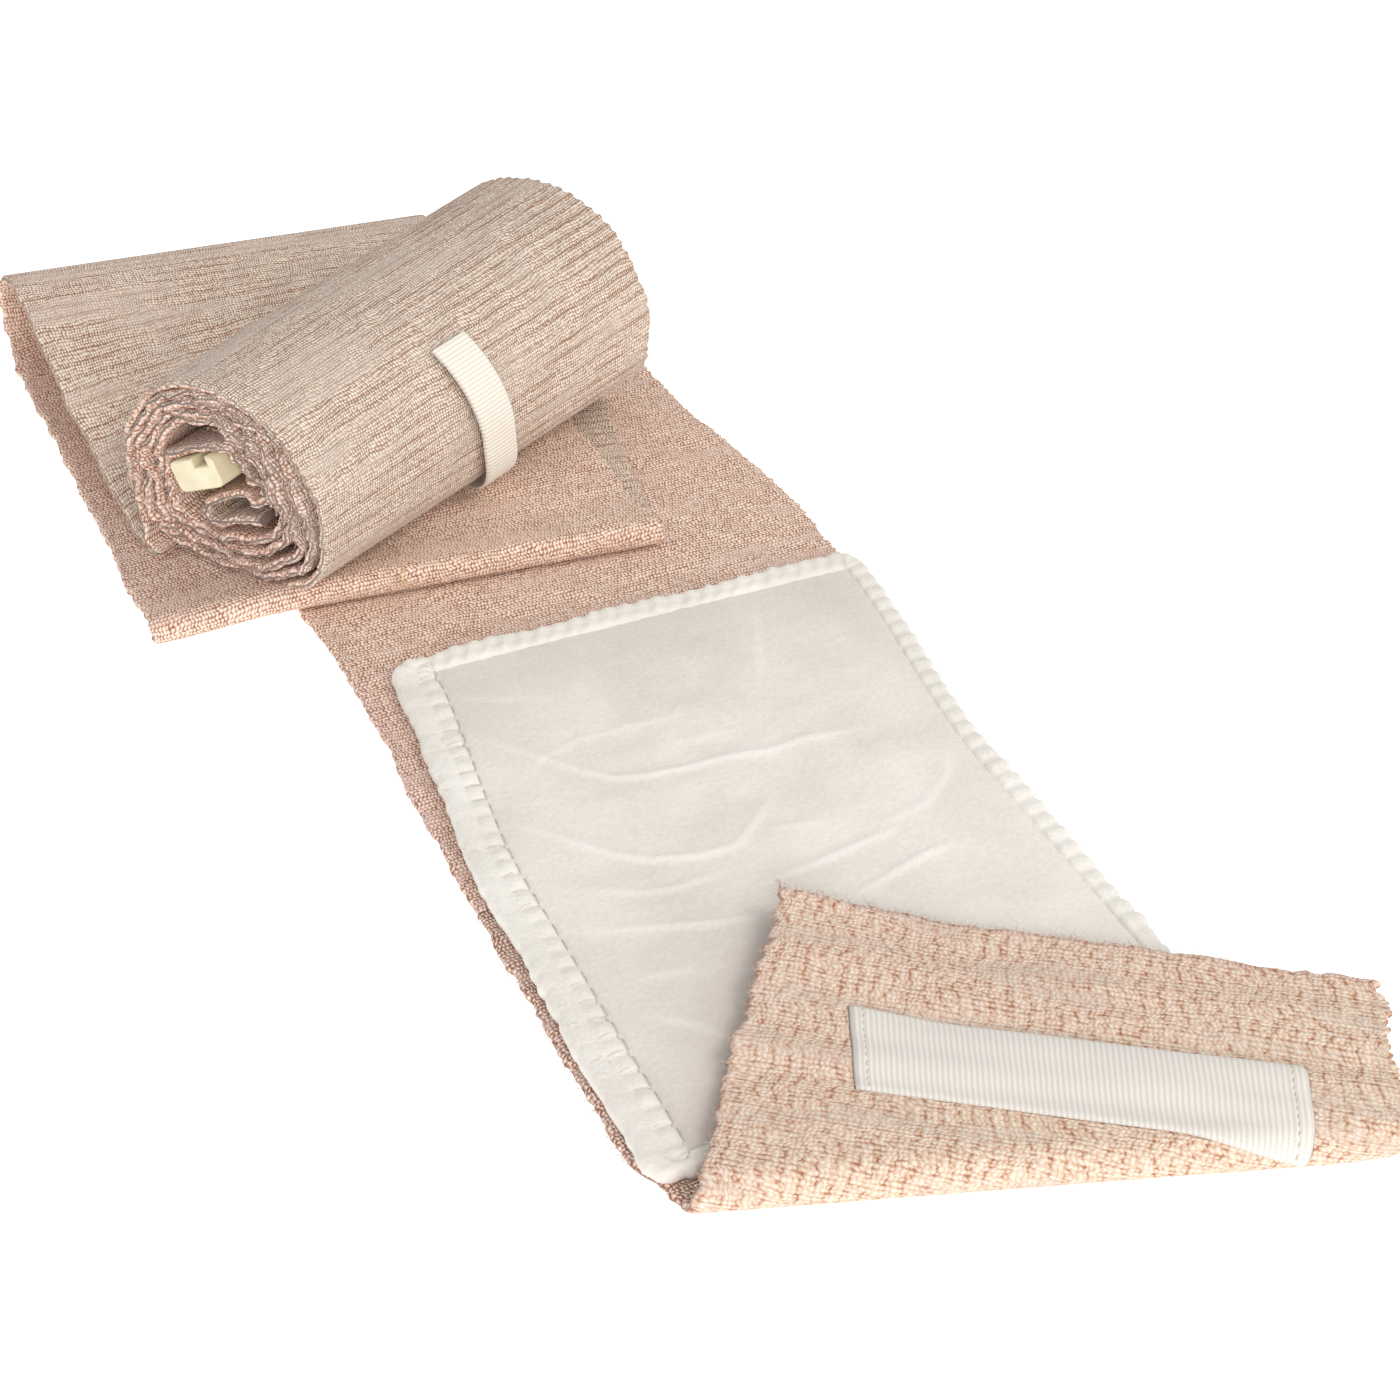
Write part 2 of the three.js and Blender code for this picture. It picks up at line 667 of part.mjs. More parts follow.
// A rectangle with rounded corners as a ring of points, with its sides at the given places.
function roundedRing(left, right, front, back, corner) {
  const corners = [
    { x: right - corner, y: back - corner, turn: 0 },
    { x: left + corner, y: back - corner, turn: 90 },
    { x: left + corner, y: front + corner, turn: 180 },
    { x: right - corner, y: front + corner, turn: 270 },
  ];
  const ring = [];
  corners.forEach((bend, number) => {
    for (let step = 0; step <= HEM_CORNER_STEPS; step += 1) {
      const angle = radians(bend.turn + (90 * step) / HEM_CORNER_STEPS);
      ring.push(new THREE.Vector2(bend.x + corner * Math.cos(angle), bend.y + corner * Math.sin(angle)));
    }
    const next = corners[(number + 1) % corners.length];
    const angle = radians(bend.turn + 90);
    const offset = new THREE.Vector2(Math.cos(angle), Math.sin(angle)).multiplyScalar(corner);
    const from = new THREE.Vector2(bend.x, bend.y).add(offset);
    const to = new THREE.Vector2(next.x, next.y).add(offset);
    for (let step = 1; step < HEM_SIDE_STEPS; step += 1) {
      ring.push(from.clone().lerp(to, step / HEM_SIDE_STEPS));
    }
  });
  return ring;
}

// Half sizes of the pad inside its hem, with the wide hem on the left.
const PAD_INSIDE = {
  left: -PAD_WIDTH / 2 + HEM_WIDE_AT_LEFT,
  right: PAD_WIDTH / 2 - HEM_WIDE,
  front: -PAD_LENGTH / 2 + HEM_WIDE,
  back: PAD_LENGTH / 2 - HEM_WIDE,
};
const PAD_BASE = BAND_WALL + LAYER_GAP;

// The pad lies on the band, its far end bent a little to the right as the band is.
function placedOnBand(geometry) {
  const places = geometry.attributes.position;
  for (let index = 0; index < places.count; index += 1) {
    const bend = PAD_BEND * smooth(places.getY(index) / (PAD_LENGTH / 2));
    places.setX(index, places.getX(index) + PAD_SHIFT + bend);
    places.setZ(index, places.getZ(index) + PAD_BASE);
  }
  geometry.computeVertexNormals();
  return geometry;
}

// The hem: a rounded roll of folded and overlocked cloth all round the pad.
const HEM_PROFILE = [
  { name: 'outer foot', inward: 0, height: 0 },
  { name: 'outer side', inward: 0, height: 0.6 },
  { name: 'outer shoulder', inward: 0.15, height: 0.92 },
  { name: 'top', inward: 0.5, height: 1 },
  { name: 'inner shoulder', inward: 0.85, height: 0.92 },
  { name: 'inner side', inward: 1, height: 0.6 },
  { name: 'inner foot', inward: 1, height: 0 },
];

function padHem() {
  const half = { x: PAD_WIDTH / 2, y: PAD_LENGTH / 2 };
  const outer = roundedRing(-half.x, half.x, -half.y, half.y, PAD_CORNER);
  const inside = PAD_INSIDE;
  const inner = roundedRing(inside.left, inside.right, inside.front, inside.back, HEM_INNER_CORNER);
  const positions = [];
  outer.forEach((point, index) => {
    for (const row of HEM_PROFILE) {
      const place = point.clone().lerp(inner[index], row.inward);
      positions.push(place.x, place.y, HEM_TALL * row.height);
    }
  });
  const triangles = [];
  const around = outer.length;
  const profile = HEM_PROFILE.length;
  for (let i = 0; i < around; i += 1) {
    for (let j = 0; j < profile; j += 1) {
      const a = i * profile + j;
      const b = ((i + 1) % around) * profile + j;
      const c = ((i + 1) % around) * profile + ((j + 1) % profile);
      const d = i * profile + ((j + 1) % profile);
      triangles.push(a, b, c, a, c, d);
    }
  }
  return placedOnBand(closedGeometry(positions, triangles));
}

function closedGeometry(positions, triangles) {
  const geometry = new THREE.BufferGeometry();
  geometry.setAttribute('position', new THREE.Float32BufferAttribute(positions, 3));
  geometry.setIndex(triangles);
  return geometry;
}

// Long soft creases in the pad's face, from end to end as shares of its half width and half length.
const PAD_CREASES = [
  { name: 'far short', fromX: 0.75, fromY: 0.22, toX: -0.15, toY: -0.02, depth: 0.7 },
  { name: 'upper', fromX: 0.95, fromY: 0.08, toX: -0.45, toY: -0.22, depth: 1 },
  { name: 'middle', fromX: 0.98, fromY: -0.14, toX: -0.55, toY: -0.44, depth: 0.8 },
  { name: 'lower', fromX: 0.98, fromY: -0.30, toX: -0.1, toY: -0.52, depth: 0.9 },
  { name: 'far upright', fromX: 0.30, fromY: 0.86, toX: 0.22, toY: 0.42, depth: 0.6 },
];

function creaseDepth(x, y) {
  let deepest = 0;
  for (const crease of PAD_CREASES) {
    const from = new THREE.Vector2(crease.fromX * PAD_WIDTH / 2, crease.fromY * PAD_LENGTH / 2);
    const to = new THREE.Vector2(crease.toX * PAD_WIDTH / 2, crease.toY * PAD_LENGTH / 2);
    const line = to.clone().sub(from);
    const along = new THREE.Vector2(x, y).sub(from).dot(line) / line.lengthSq();
    const share = THREE.MathUtils.clamp(along, 0, 1);
    const nearest = from.clone().addScaledVector(line, share);
    const fade = Math.sin(Math.PI * mix(CREASE_END_FADE, 1 - CREASE_END_FADE, share));
    const nearness = Math.max(0, 1 - nearest.distanceTo(new THREE.Vector2(x, y)) / CREASE_WIDE);
    deepest = Math.max(deepest, crease.depth * fade * smooth(nearness));
  }
  return CREASE_DEPTH * deepest;
}

function padTop(x, y) {
  const middleX = (PAD_INSIDE.left + PAD_INSIDE.right) / 2;
  const acrossShare = (x - middleX) / (PAD_INSIDE.right - middleX);
  const alongShare = y / PAD_INSIDE.back;
  const crown = (1 - acrossShare ** 4) * (1 - alongShare ** 4);
  return PAD_EDGE + PAD_CROWN * crown - creaseDepth(x, y) * crown;
}

function dressingPad() {
  const inside = {
    left: PAD_INSIDE.left + LAYER_GAP,
    right: PAD_INSIDE.right - LAYER_GAP,
    front: PAD_INSIDE.front + LAYER_GAP,
    back: PAD_INSIDE.back - LAYER_GAP,
  };
  const grid = [];
  const normals = [];
  for (let i = 0; i <= PAD_ROWS; i += 1) {
    const row = [];
    for (let j = 0; j <= PAD_COLUMNS; j += 1) {
      const x = mix(inside.left, inside.right, j / PAD_COLUMNS);
      const y = mix(inside.front, inside.back, i / PAD_ROWS);
      row.push(new THREE.Vector3(x, y, 0));
    }
    grid.push(row);
    normals.push(row.map((point) => new THREE.Vector3(0, 0, padTop(point.x, point.y))));
  }
  return placedOnBand(wallGeometry(grid, normals, 0, 1));
}

const group = new THREE.Group();

function addPart(name, geometry, color, roughness) {
  const material = new THREE.MeshStandardMaterial({ color, roughness, metalness: 0 });
  const mesh = new THREE.Mesh(geometry, material);
  mesh.name = name;
  group.add(mesh);
}

addPart('elastic_band', elasticBand(), 0xc9a08c, 0.95);
addPart('dressing_pad', dressingPad(), 0xf0ece4, 0.95);
addPart('pad_hem', padHem(), 0xf0ece4, 0.95);
addPart('lead_tape', leadTape(), 0xe6dcca, 0.8);
addPart('roll_tape', rollTape(), 0xe6dcca, 0.8);
addPart('closure_bar', closureBar(), 0xe2dbb4, 0.35);

export default group;
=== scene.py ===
import math

import bpy
import numpy as np
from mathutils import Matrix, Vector


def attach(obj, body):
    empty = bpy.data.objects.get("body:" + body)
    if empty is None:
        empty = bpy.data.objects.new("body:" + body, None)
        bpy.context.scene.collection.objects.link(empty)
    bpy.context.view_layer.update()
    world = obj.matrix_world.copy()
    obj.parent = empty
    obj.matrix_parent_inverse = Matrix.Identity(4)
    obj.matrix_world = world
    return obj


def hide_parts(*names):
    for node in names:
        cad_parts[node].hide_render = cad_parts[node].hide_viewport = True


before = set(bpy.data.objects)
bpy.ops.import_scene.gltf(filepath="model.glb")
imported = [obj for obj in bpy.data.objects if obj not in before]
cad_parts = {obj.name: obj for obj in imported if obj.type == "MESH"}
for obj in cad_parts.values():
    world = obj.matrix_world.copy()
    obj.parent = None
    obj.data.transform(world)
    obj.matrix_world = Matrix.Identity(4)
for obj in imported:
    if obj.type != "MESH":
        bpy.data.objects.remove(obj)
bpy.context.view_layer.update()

# Emergency trauma bandage, half unrolled. Lengths are in millimetres until a mesh is made.
MM = 0.001

# The camera of the photograph
CAMERA_AT = (-156.0, -323.2, 290.0)
CAMERA_TURN = (54.0, 0.0, -24.0)
CAMERA_LENS = 69.43
CAMERA_SENSOR = 36.0

# The knitted band
BAND_WIDTH = 100.0
BAND_WALL = 1.7
LAYER_GAP = 0.3
LAYER_PITCH = BAND_WALL + LAYER_GAP
BAND_HALF = BAND_WIDTH / 2
FLAT_MARGIN = 0.01
RIB_PITCH = 2.5
RIB_LEAST = 0.02
RIB_MOST = 0.125

# The near end, folded over the pad askew
PAD_TO_NEAR_FOLD = 18.5
NEAR_FOLD_SKEW = 18.0
NEAR_FOLD_RADIUS = 2.9
NEAR_DRIFT = 2.8
FLAP_LENGTH = 45.5
FLAP_NARROWING = 5.0
FLAP_CURL_RISE = 3.5
FLAP_CURL_REACH = 45.0

# The pleat behind the pad
PAD_TO_BACK_FOLD = 164.5
FAR_DRIFT = -3.3
BACK_FOLD_SKEW = 5.4
FRONT_FOLD_SKEW = 5.5
PLEAT_LENGTH = 141.0
PLEAT_BULGE_RADIUS = 1.8
PLEAT_BULGE_RELIEF = 8.0
PLEAT_BULGE_RUN = 8.0
UPPER_LAYER_RUN = 62.0
DROOP_START = 4.0
DROOP_SPAN = 26.0

# The loop behind the roll
LOOP_REACH = 120.0
LOOP_HEIGHT = 30.0

# The roll
ROLL_HEADING = 32.0
ROLL_SETBACK = 1.8
ROLL_OVERHANG = 23.5
ROLL_LENGTH = 99.8
ROLL_WIDE = (52.5, 54.0)
ROLL_TALL = 41.5
ROLL_REST = (4.4, 6.3)
ROLL_WAIST = 17.0
ROLL_SQUARENESS = 2.6
ROLL_FRONT_BULGE = (12.5, 14.0)
ROLL_SPREAD = 2.2
ROLL_RISE = 0.8
ROLL_SPREAD_REACH = 0.5
ROLL_BOTTOM_SQUARENESS = 3.6
ROLL_START_ANGLE = -12.0
ROLL_END_ANGLE = 14.0
CORE_SLACK = 1.3
CORE_DRIFT = 0.5
TAIL_RADIUS = 4.0
TAIL_LEAN = 12.0
TAIL_TURN = 53.0

# The roll's crumpled near end, and the innermost turns' sag over the bar
CRUMPLE_BACK = 1.9
CRUMPLE_UP = 1.7
CRUMPLE_FINE = 0.5
CRUMPLE_REACH = 20.0
BAR_MIDDLE = (19.5, 26.5)
BAR_CLEARANCE = 6.0
SAG_MIDDLE = 24.0
SAG_REACH = 8.0
SAG_DEPTH = 2.8
SAG_FLOOR = 29.0

# The closure bar in the core
BAR_WIDE = 12.5
BAR_TALL = 6.5
BAR_LENGTH = 98.0
BAR_PROUD = 2.0
BAR_GROOVE = (-4.5, -0.5, 1.8)
BAR_CORNER = 1.4
# How far along the bar each of its outlines lies, and how far inside the full outline
BAR_RINGS = ((0, 0.45), (0.12, 0.18), (0.4, 0), (BAR_LENGTH - 0.4, 0), (BAR_LENGTH, 0.45))

# The dressing pad and its hem
PAD_WIDTH = 96.5
PAD_LENGTH = 139.0
PAD_EDGE = 2.4
PAD_CROWN = 0.7
PAD_CORNER = 5.0
PAD_SHIFT = -3.0
PAD_BEND = 6.3
HEM_WIDE = 4.0
HEM_WIDE_AT_LEFT = 8.5
HEM_TALL = 2.7
HEM_FAR_LAP = 1.5
HEM_PUFF = 4.2
HEM_LEFT_BOW = 0.6
HEM_RIGHT_PUFF = 4.1
HEM_FAR_STITCH = 3.4
HEM_FAR_SLANT = 2.5
PAD_UNDER_HEM = 0.6
PAD_COLUMNS = 180
PAD_ROWS = 255
CREASE_DEPTH = 0.62
CREASE_RIDGE_WIDE = 0.95
CREASE_DIP_WIDE = 5.5

# The ivory tapes
LEAD_TAPE_LENGTH = 70.5
LEAD_TAPE_WIDE = 17.0
LEAD_TAPE_FROM_EDGE = 24.0
LEAD_TAPE_FROM_SIDE = 15.5
LEAD_TAPE_TURN = 1.0
LEAD_TAPE_SLANT = 3.5
LEAD_TAPE_LIFT = 0.12
LEAD_TAPE_THICK = 0.48
ROLL_TAPE_WIDE = 10.0
ROLL_TAPE_PLACE = 0.5
ROLL_TAPE_SLANT = 0.1
ROLL_TAPE_START = 132.0
ROLL_TAPE_END = 262.0
ROLL_TAPE_LIFT = 0.15
ROLL_TAPE_THICK = 0.55

# Loose threads and fibres
THREAD_RADIUS = 0.16
HEM_THREAD_RADIUS = 0.09
THREAD_LIFT = 0.25
FIBRE_RADIUS = 0.045
FIBRE_SPREAD = 0.9

UP = np.array((0.0, 0.0, 1.0))


def vec(*values):
    return np.array(values, dtype=float)


def mix(start, end, share):
    return start + (end - start) * share


def smooth(value):
    t = np.clip(value, 0.0, 1.0)
    return t * t * (3 - 2 * t)


def unit(vectors):
    return vectors / np.maximum(np.linalg.norm(vectors, axis=-1, keepdims=True), 1e-9)


def noise_line(x, pitch, seed):
    """Smooth noise from -1 to 1 along x, with one random value every pitch."""
    t = (x - np.min(x)) / pitch
    values = np.random.default_rng(seed).uniform(-1, 1, int(np.max(t)) + 3)
    cell = np.floor(t).astype(int)
    return mix(values[cell], values[cell + 1], smooth(t - cell))


def noise_field(x, y, pitch_x, pitch_y, seed):
    """Smooth noise from -1 to 1 over x and y."""
    s, t = (x - np.min(x)) / pitch_x, (y - np.min(y)) / pitch_y
    shape = (int(np.max(s)) + 3, int(np.max(t)) + 3)
    values = np.random.default_rng(seed).uniform(-1, 1, shape)
    i, j = np.floor(s).astype(int), np.floor(t).astype(int)
    a, b = smooth(s - i), smooth(t - j)
    low = mix(values[i, j], values[i + 1, j], a)
    high = mix(values[i, j + 1], values[i + 1, j + 1], a)
    return mix(low, high, b)


# The camera comes first.
camera_data = bpy.data.cameras.new("photo_camera")
camera_data.lens = CAMERA_LENS
camera_data.sensor_width = CAMERA_SENSOR
camera_data.clip_start = 0.01
camera = bpy.data.objects.new("photo_camera", camera_data)
camera.location = Vector(CAMERA_AT) * MM
camera.rotation_euler = [math.radians(angle) for angle in CAMERA_TURN]
bpy.context.scene.collection.objects.link(camera)
bpy.context.scene.camera = camera


def rotate(vector, axis, angle):
    cosine, sine = math.cos(angle), math.sin(angle)
    return vector * cosine + np.cross(axis, vector) * sine + axis * np.dot(axis, vector) * (1 - cosine)


class Ruling:
    """One straight line across the band: its ends, its travel along the band, and its skew."""

    def __init__(self, left, right, travel, skew=0.0):
        self.left = np.array(left, dtype=float)
        self.right = np.array(right, dtype=float)
        self.travel = travel
        self.skew = skew
        self.curl_from = None
        self.droops = False


class Walker:
    """Walks an unstretched band along its centre line and notes a ruling at each step and fold."""

    def __init__(self, along, across):
        self.centre = vec(0, 0, BAND_WALL / 2)
        self.along = vec(*along)
        self.across = vec(*across)
        self.travel = 0.0
        self.rulings = []

    def mark(self, skew):
        reach = BAND_HALF * (self.across + self.along * math.tan(skew))
        self.rulings.append(Ruling(self.centre - reach, self.centre + reach, self.travel, skew))

    def advance(self, length):
        self.centre = self.centre + self.along * length
        self.travel += length

    def run(self, length, skew_from, skew_to, step):
        steps = max(1, round(length / step))
        for number in range(1, steps + 1):
            self.advance(length / steps)
            self.mark(mix(skew_from, skew_to, number / steps))

    def bend(self, turn, radius, skew, steps):
        facet = radius * abs(turn) / steps / math.cos(skew)
        for _ in range(steps):
            self.advance(facet / 2)
            self.mark(skew)
            line = self.along * math.sin(skew) + self.across * math.cos(skew)
            self.along = rotate(self.along, line, turn / steps)
            self.across = rotate(self.across, line, turn / steps)
            self.advance(facet / 2)


# The flat strip's two selvedges: along as a share of the pad's length from its middle, left and right
# as shares of half the band's width.
STRIP_OUTLINE = [
    {"along": -0.77, "left": -0.944, "right": 1.056},
    {"along": -0.54, "left": -0.944, "right": 0.98},
    {"along": -0.42, "left": -1.03, "right": 0.91},
    {"along": 0.0, "left": -1.04, "right": 0.87},
    {"along": 0.17, "left": -1.04, "right": 0.94},
    {"along": 0.5, "left": -1.01, "right": 1.015},
    {"along": 0.68, "left": -1.04, "right": 1.02},
    {"along": 1.13, "left": -1.05, "right": 0.9},
    {"along": 1.65, "left": -1.066, "right": 0.934},
]


def selvedge(side, y):
    along = y / PAD_LENGTH
    row = 0
    while row < len(STRIP_OUTLINE) - 2 and STRIP_OUTLINE[row + 1]["along"] < along:
        row += 1
    start, end = STRIP_OUTLINE[row], STRIP_OUTLINE[row + 1]
    share = smooth((along - start["along"]) / (end["along"] - start["along"]))
    return BAND_HALF * mix(start[side], end[side], share)


def move_sideways(line, on_strip, drift):
    if on_strip:
        line.left[0] = selvedge("left", line.left[1])
        line.right[0] = selvedge("right", line.right[1])
    else:
        line.left[0] += drift
        line.right[0] += drift


def near_rulings(step, fold_steps):
    """From the free edge of the flap, round the near fold, to the middle of the pad."""
    walker = Walker((0, -1, 0), (-1, 0, 0))
    skew = -math.radians(NEAR_FOLD_SKEW)
    walker.run(PAD_LENGTH / 2 + PAD_TO_NEAR_FOLD, 0, skew, step)
    fold_start = walker.travel + FLAT_MARGIN
    walker.bend(math.pi, NEAR_FOLD_RADIUS, skew, fold_steps)
    fold_end = walker.travel
    walker.run(FLAP_LENGTH, skew, 0, step)
    lines = []
    for line in reversed(walker.rulings):
        share = max(0.0, (line.travel - fold_end) / FLAP_LENGTH)
        narrowing = FLAP_NARROWING * share / BAND_WIDTH
        flipped = Ruling(line.right, mix(line.left, line.right, narrowing), -line.travel, line.skew)
        move_sideways(flipped, line.travel < fold_start, NEAR_DRIFT)
        if share > 0:
            flipped.curl_from = walker.travel - line.travel
        lines.append(flipped)
    return lines


def far_rulings(step, layer_step):
    """From the middle of the pad to the back fold, and the pleat's two layers over the strip."""
    walker = Walker((0, 1, 0), (1, 0, 0))
    strip = PAD_LENGTH / 2 + PAD_TO_BACK_FOLD
    skew = -math.radians(BACK_FOLD_SKEW)
    walker.run(strip, 0, skew, step)
    walker.bend(math.pi, LAYER_PITCH / 2, skew, 10)
    front = -math.radians(FRONT_FOLD_SKEW)
    walker.run(PLEAT_LENGTH, skew, front, layer_step)
    relief = math.radians(PLEAT_BULGE_RELIEF)
    walker.bend(-math.pi - relief, PLEAT_BULGE_RADIUS, front, 16)
    front_fold = walker.centre + vec(FAR_DRIFT, 0, 0)
    walker.run(PLEAT_BULGE_RUN, front, front, step)
    drop = walker.centre[2] - BAND_WALL / 2 - 2 * LAYER_PITCH
    walker.bend(relief, drop / (1 - math.cos(relief)), front, 5)
    walker.run(UPPER_LAYER_RUN, front, 0, step)
    for line in walker.rulings:
        on_strip = line.travel < strip + FLAT_MARGIN
        move_sideways(line, on_strip, FAR_DRIFT)
        line.droops = line.travel > strip
    return walker.rulings, front_fold


def droop(x):
    """Where the pleat overhangs the strip's left side it droops to the floor."""
    return LAYER_PITCH * smooth((-BAND_HALF - DROOP_START - x) / DROOP_SPAN)


class RollFrame:
    """The roll's own frame: sideways along its axis, backward and up."""

    def __init__(self, front_fold):
        heading = math.radians(ROLL_HEADING)
        self.axis = vec(math.cos(heading), math.sin(heading), 0)
        self.back = np.cross(UP, self.axis)
        self.corner = vec(front_fold[0] - ROLL_OVERHANG, front_fold[1] + ROLL_SETBACK, 0)

    def place(self, sideways, backward, height):
        return self.corner + self.axis * sideways + self.back * backward + UP * height


def roll_section(share):
    spread = smooth(share / ROLL_SPREAD_REACH)
    half_wide = (mix(*ROLL_WIDE, share) - BAND_WALL + ROLL_SPREAD * spread) / 2
    return {
        "half_wide": half_wide,
        "middle": half_wide + BAND_WALL / 2 - mix(*ROLL_FRONT_BULGE, share) - ROLL_SPREAD * spread,
        "waist": mix(*ROLL_REST, share) + ROLL_WAIST,
        "below": ROLL_WAIST - BAND_WALL / 2 + 0.75 * LAYER_PITCH,
        "above": ROLL_TALL - ROLL_WAIST - BAND_WALL / 2 + 0.25 * LAYER_PITCH + ROLL_RISE * spread,
        "squareness": mix(ROLL_SQUARENESS, ROLL_BOTTOM_SQUARENESS, spread),
    }


CORE_HALF = math.hypot(BAR_WIDE, BAR_TALL) / 2 + BAND_WALL / 2 + CORE_SLACK
ROLL_HALF = (roll_section(0)["below"] + roll_section(0)["above"]) / 2
ROLL_TURNS = int((ROLL_HALF - CORE_HALF) / LAYER_PITCH) + (ROLL_END_ANGLE - ROLL_START_ANGLE) / 360


def spiral_point(roll, angle, share):
    """A point of the spiral's middle surface: 0 degrees at the back, 90 on top, 180 in front."""
    section = roll_section(share)
    turns = (angle - ROLL_START_ANGLE) / 360
    half_wide = section["half_wide"] - (LAYER_PITCH + CORE_DRIFT) * turns
    cosine, sine = math.cos(math.radians(angle)), math.sin(math.radians(angle))
    power = 2 / section["squareness"] if sine < 0 else 1
    half_tall = (section["below"] if sine < 0 else section["above"]) - LAYER_PITCH * turns
    backward = half_wide * math.copysign(abs(cosine) ** power, cosine)
    height = half_tall * math.copysign(abs(sine) ** power, sine)
    return roll.place(
        ROLL_LENGTH * share,
        section["middle"] + CORE_DRIFT * turns + backward,
        section["waist"] + height,
    )


def spiral_rulings(roll, outer_steps, inner_steps):
    """The outer turn and a little more in fine steps, the inner ones in coarser steps."""
    first, last = ROLL_START_ANGLE, ROLL_START_ANGLE + 360 * ROLL_TURNS
    outer = np.arange(first, first + 372, 360 / outer_steps)
    inner = np.arange(outer[-1] + 360 / inner_steps, last, 360 / inner_steps)
    angles = [*outer, *inner, last]
    return [Ruling(spiral_point(roll, a, 0), spiral_point(roll, a, 1), 0) for a in angles]


def tail_rulings(roll):
    """The tail leaves the last turn at the core's back, bends over and runs along the bar's top."""
    last = ROLL_START_ANGLE + 360 * ROLL_TURNS
    ends = [spiral_point(roll, last, share) for share in (0, 1)]
    lean = math.radians(TAIL_LEAN)

    def line(turn, run):
        forward = TAIL_RADIUS * (math.cos(lean) - math.cos(lean + turn)) + run * math.sin(lean + turn)
        rise = TAIL_RADIUS * (math.sin(lean + turn) - math.sin(lean)) + run * math.cos(lean + turn)
        return Ruling(*[end - roll.back * forward + UP * rise for end in ends], 0)

    bend = [line(math.radians(TAIL_TURN * step / 8), 0) for step in range(1, 9)]
    flat = [line(math.radians(TAIL_TURN), BAR_WIDE * step / 8) for step in range(1, 9)]
    return bend, flat


# The end of the tail, crumpled up in the hollow beside and under the bar: backward and up in the roll.
TAIL_FOLDS = [
    (13.3, 33.0), (11.9, 31.4), (10.5, 28.8), (9.0, 26.6), (6.8, 25.2), (5.8, 23.6), (7.0, 22.3),
    (10.0, 22.9), (13.4, 22.0), (16.8, 20.1), (19.7, 18.4), (19.6, 16.7), (17.0, 16.4), (13.0, 16.9),
    (9.0, 17.7), (6.2, 18.9),
]
TAIL_FOLD_STEPS = 6


# The loop's sections, as shares of half the band's width, of the loop's reach and of its height:
# out, back and up at the left end, then at the right end.
LOOP_SECTIONS = [
    (-1.02, 0.84, 0.10, 1.02, 0.82, 0.16),
    (-1.02, 0.98, 0.27, 1.00, 1.02, 0.23),
    (-1.03, 0.98, 0.63, 0.96, 1.07, 0.37),
    (-1.02, 0.91, 0.90, 0.94, 1.04, 0.50),
    (-1.02, 0.86, 0.96, 0.93, 1.00, 0.52),
    (-1.01, 0.79, 0.92, 0.93, 0.93, 0.50),
]

# The sharp fold behind the roll, in the roll's frame: out past its end as a share of its length, back
# as a share of its width, up as a share of its height; left end, then right end.
HEEL_SECTIONS = [
    (-0.04, 0.61, 0.12, -0.02, 0.65, 0.17),
    (-0.04, 0.56, 0.14, -0.02, 0.60, 0.19),
    (-0.04, 0.61, 0.17, -0.02, 0.65, 0.22),
    (-0.02, 0.675, 0.27, -0.01, 0.705, 0.29),
    (0.0, 0.725, 0.40, 0.0, 0.745, 0.43),
]


def curve_point(points, t):
    """A point of the centripetal Catmull-Rom curve through the points, t from 0 to 1."""
    place = (len(points) - 1) * t
    index = min(int(place), len(points) - 2)
    weight = place - index
    p1, p2 = points[index], points[index + 1]
    p0 = points[index - 1] if index > 0 else 2 * p1 - p2
    p3 = points[index + 2] if index + 2 < len(points) else 2 * p2 - p1
    d0, d1, d2 = (math.sqrt(np.linalg.norm(b - a)) for a, b in ((p0, p1), (p1, p2), (p2, p3)))
    start = ((p1 - p0) / d0 - (p2 - p0) / (d0 + d1) + (p2 - p1) / d1) * d1
    end = ((p2 - p1) / d1 - (p3 - p1) / (d1 + d2) + (p3 - p2) / d2) * d1
    c2 = -3 * p1 + 3 * p2 - 2 * start - end
    c3 = 2 * p1 - 2 * p2 + start + end
    return p1 + start * weight + c2 * weight ** 2 + c3 * weight ** 3


def loop_rulings(front_fold, roll, before, after, steps_each):
    lefts, rights = [before.left - vec(0, 0, droop(before.left[0]))], [before.right]
    for row in LOOP_SECTIONS:
        for ends, (out, back, up) in ((lefts, row[:3]), (rights, row[3:])):
            reach = vec(BAND_HALF * out, LOOP_REACH * back, LOOP_HEIGHT * up)
            ends.append(front_fold * vec(1, 1, 0) + reach)
    for row in HEEL_SECTIONS:
        for ends, start, (out, back, up) in ((lefts, 0, row[:3]), (rights, 1, row[3:])):
            place = roll.place(ROLL_LENGTH * (start + out), ROLL_WIDE[0] * back, ROLL_TALL * up)
            ends.append(place)
    lefts.append(after.left)
    rights.append(after.right)
    steps = (len(lefts) - 1) * steps_each
    return [
        Ruling(curve_point(lefts, step / steps), curve_point(rights, step / steps), 0)
        for step in range(1, steps)
    ]


def tail_fold_rulings(roll, before):
    ends = []
    for share, seat in ((0, before.left), (1, before.right)):
        places = [roll.place(ROLL_LENGTH * share, backward, up) for backward, up in TAIL_FOLDS]
        ends.append([seat, *places])
    steps = len(TAIL_FOLDS) * TAIL_FOLD_STEPS
    return [
        Ruling(*[curve_point(places, step / steps) for places in ends], 0)
        for step in range(1, steps + 1)
    ]


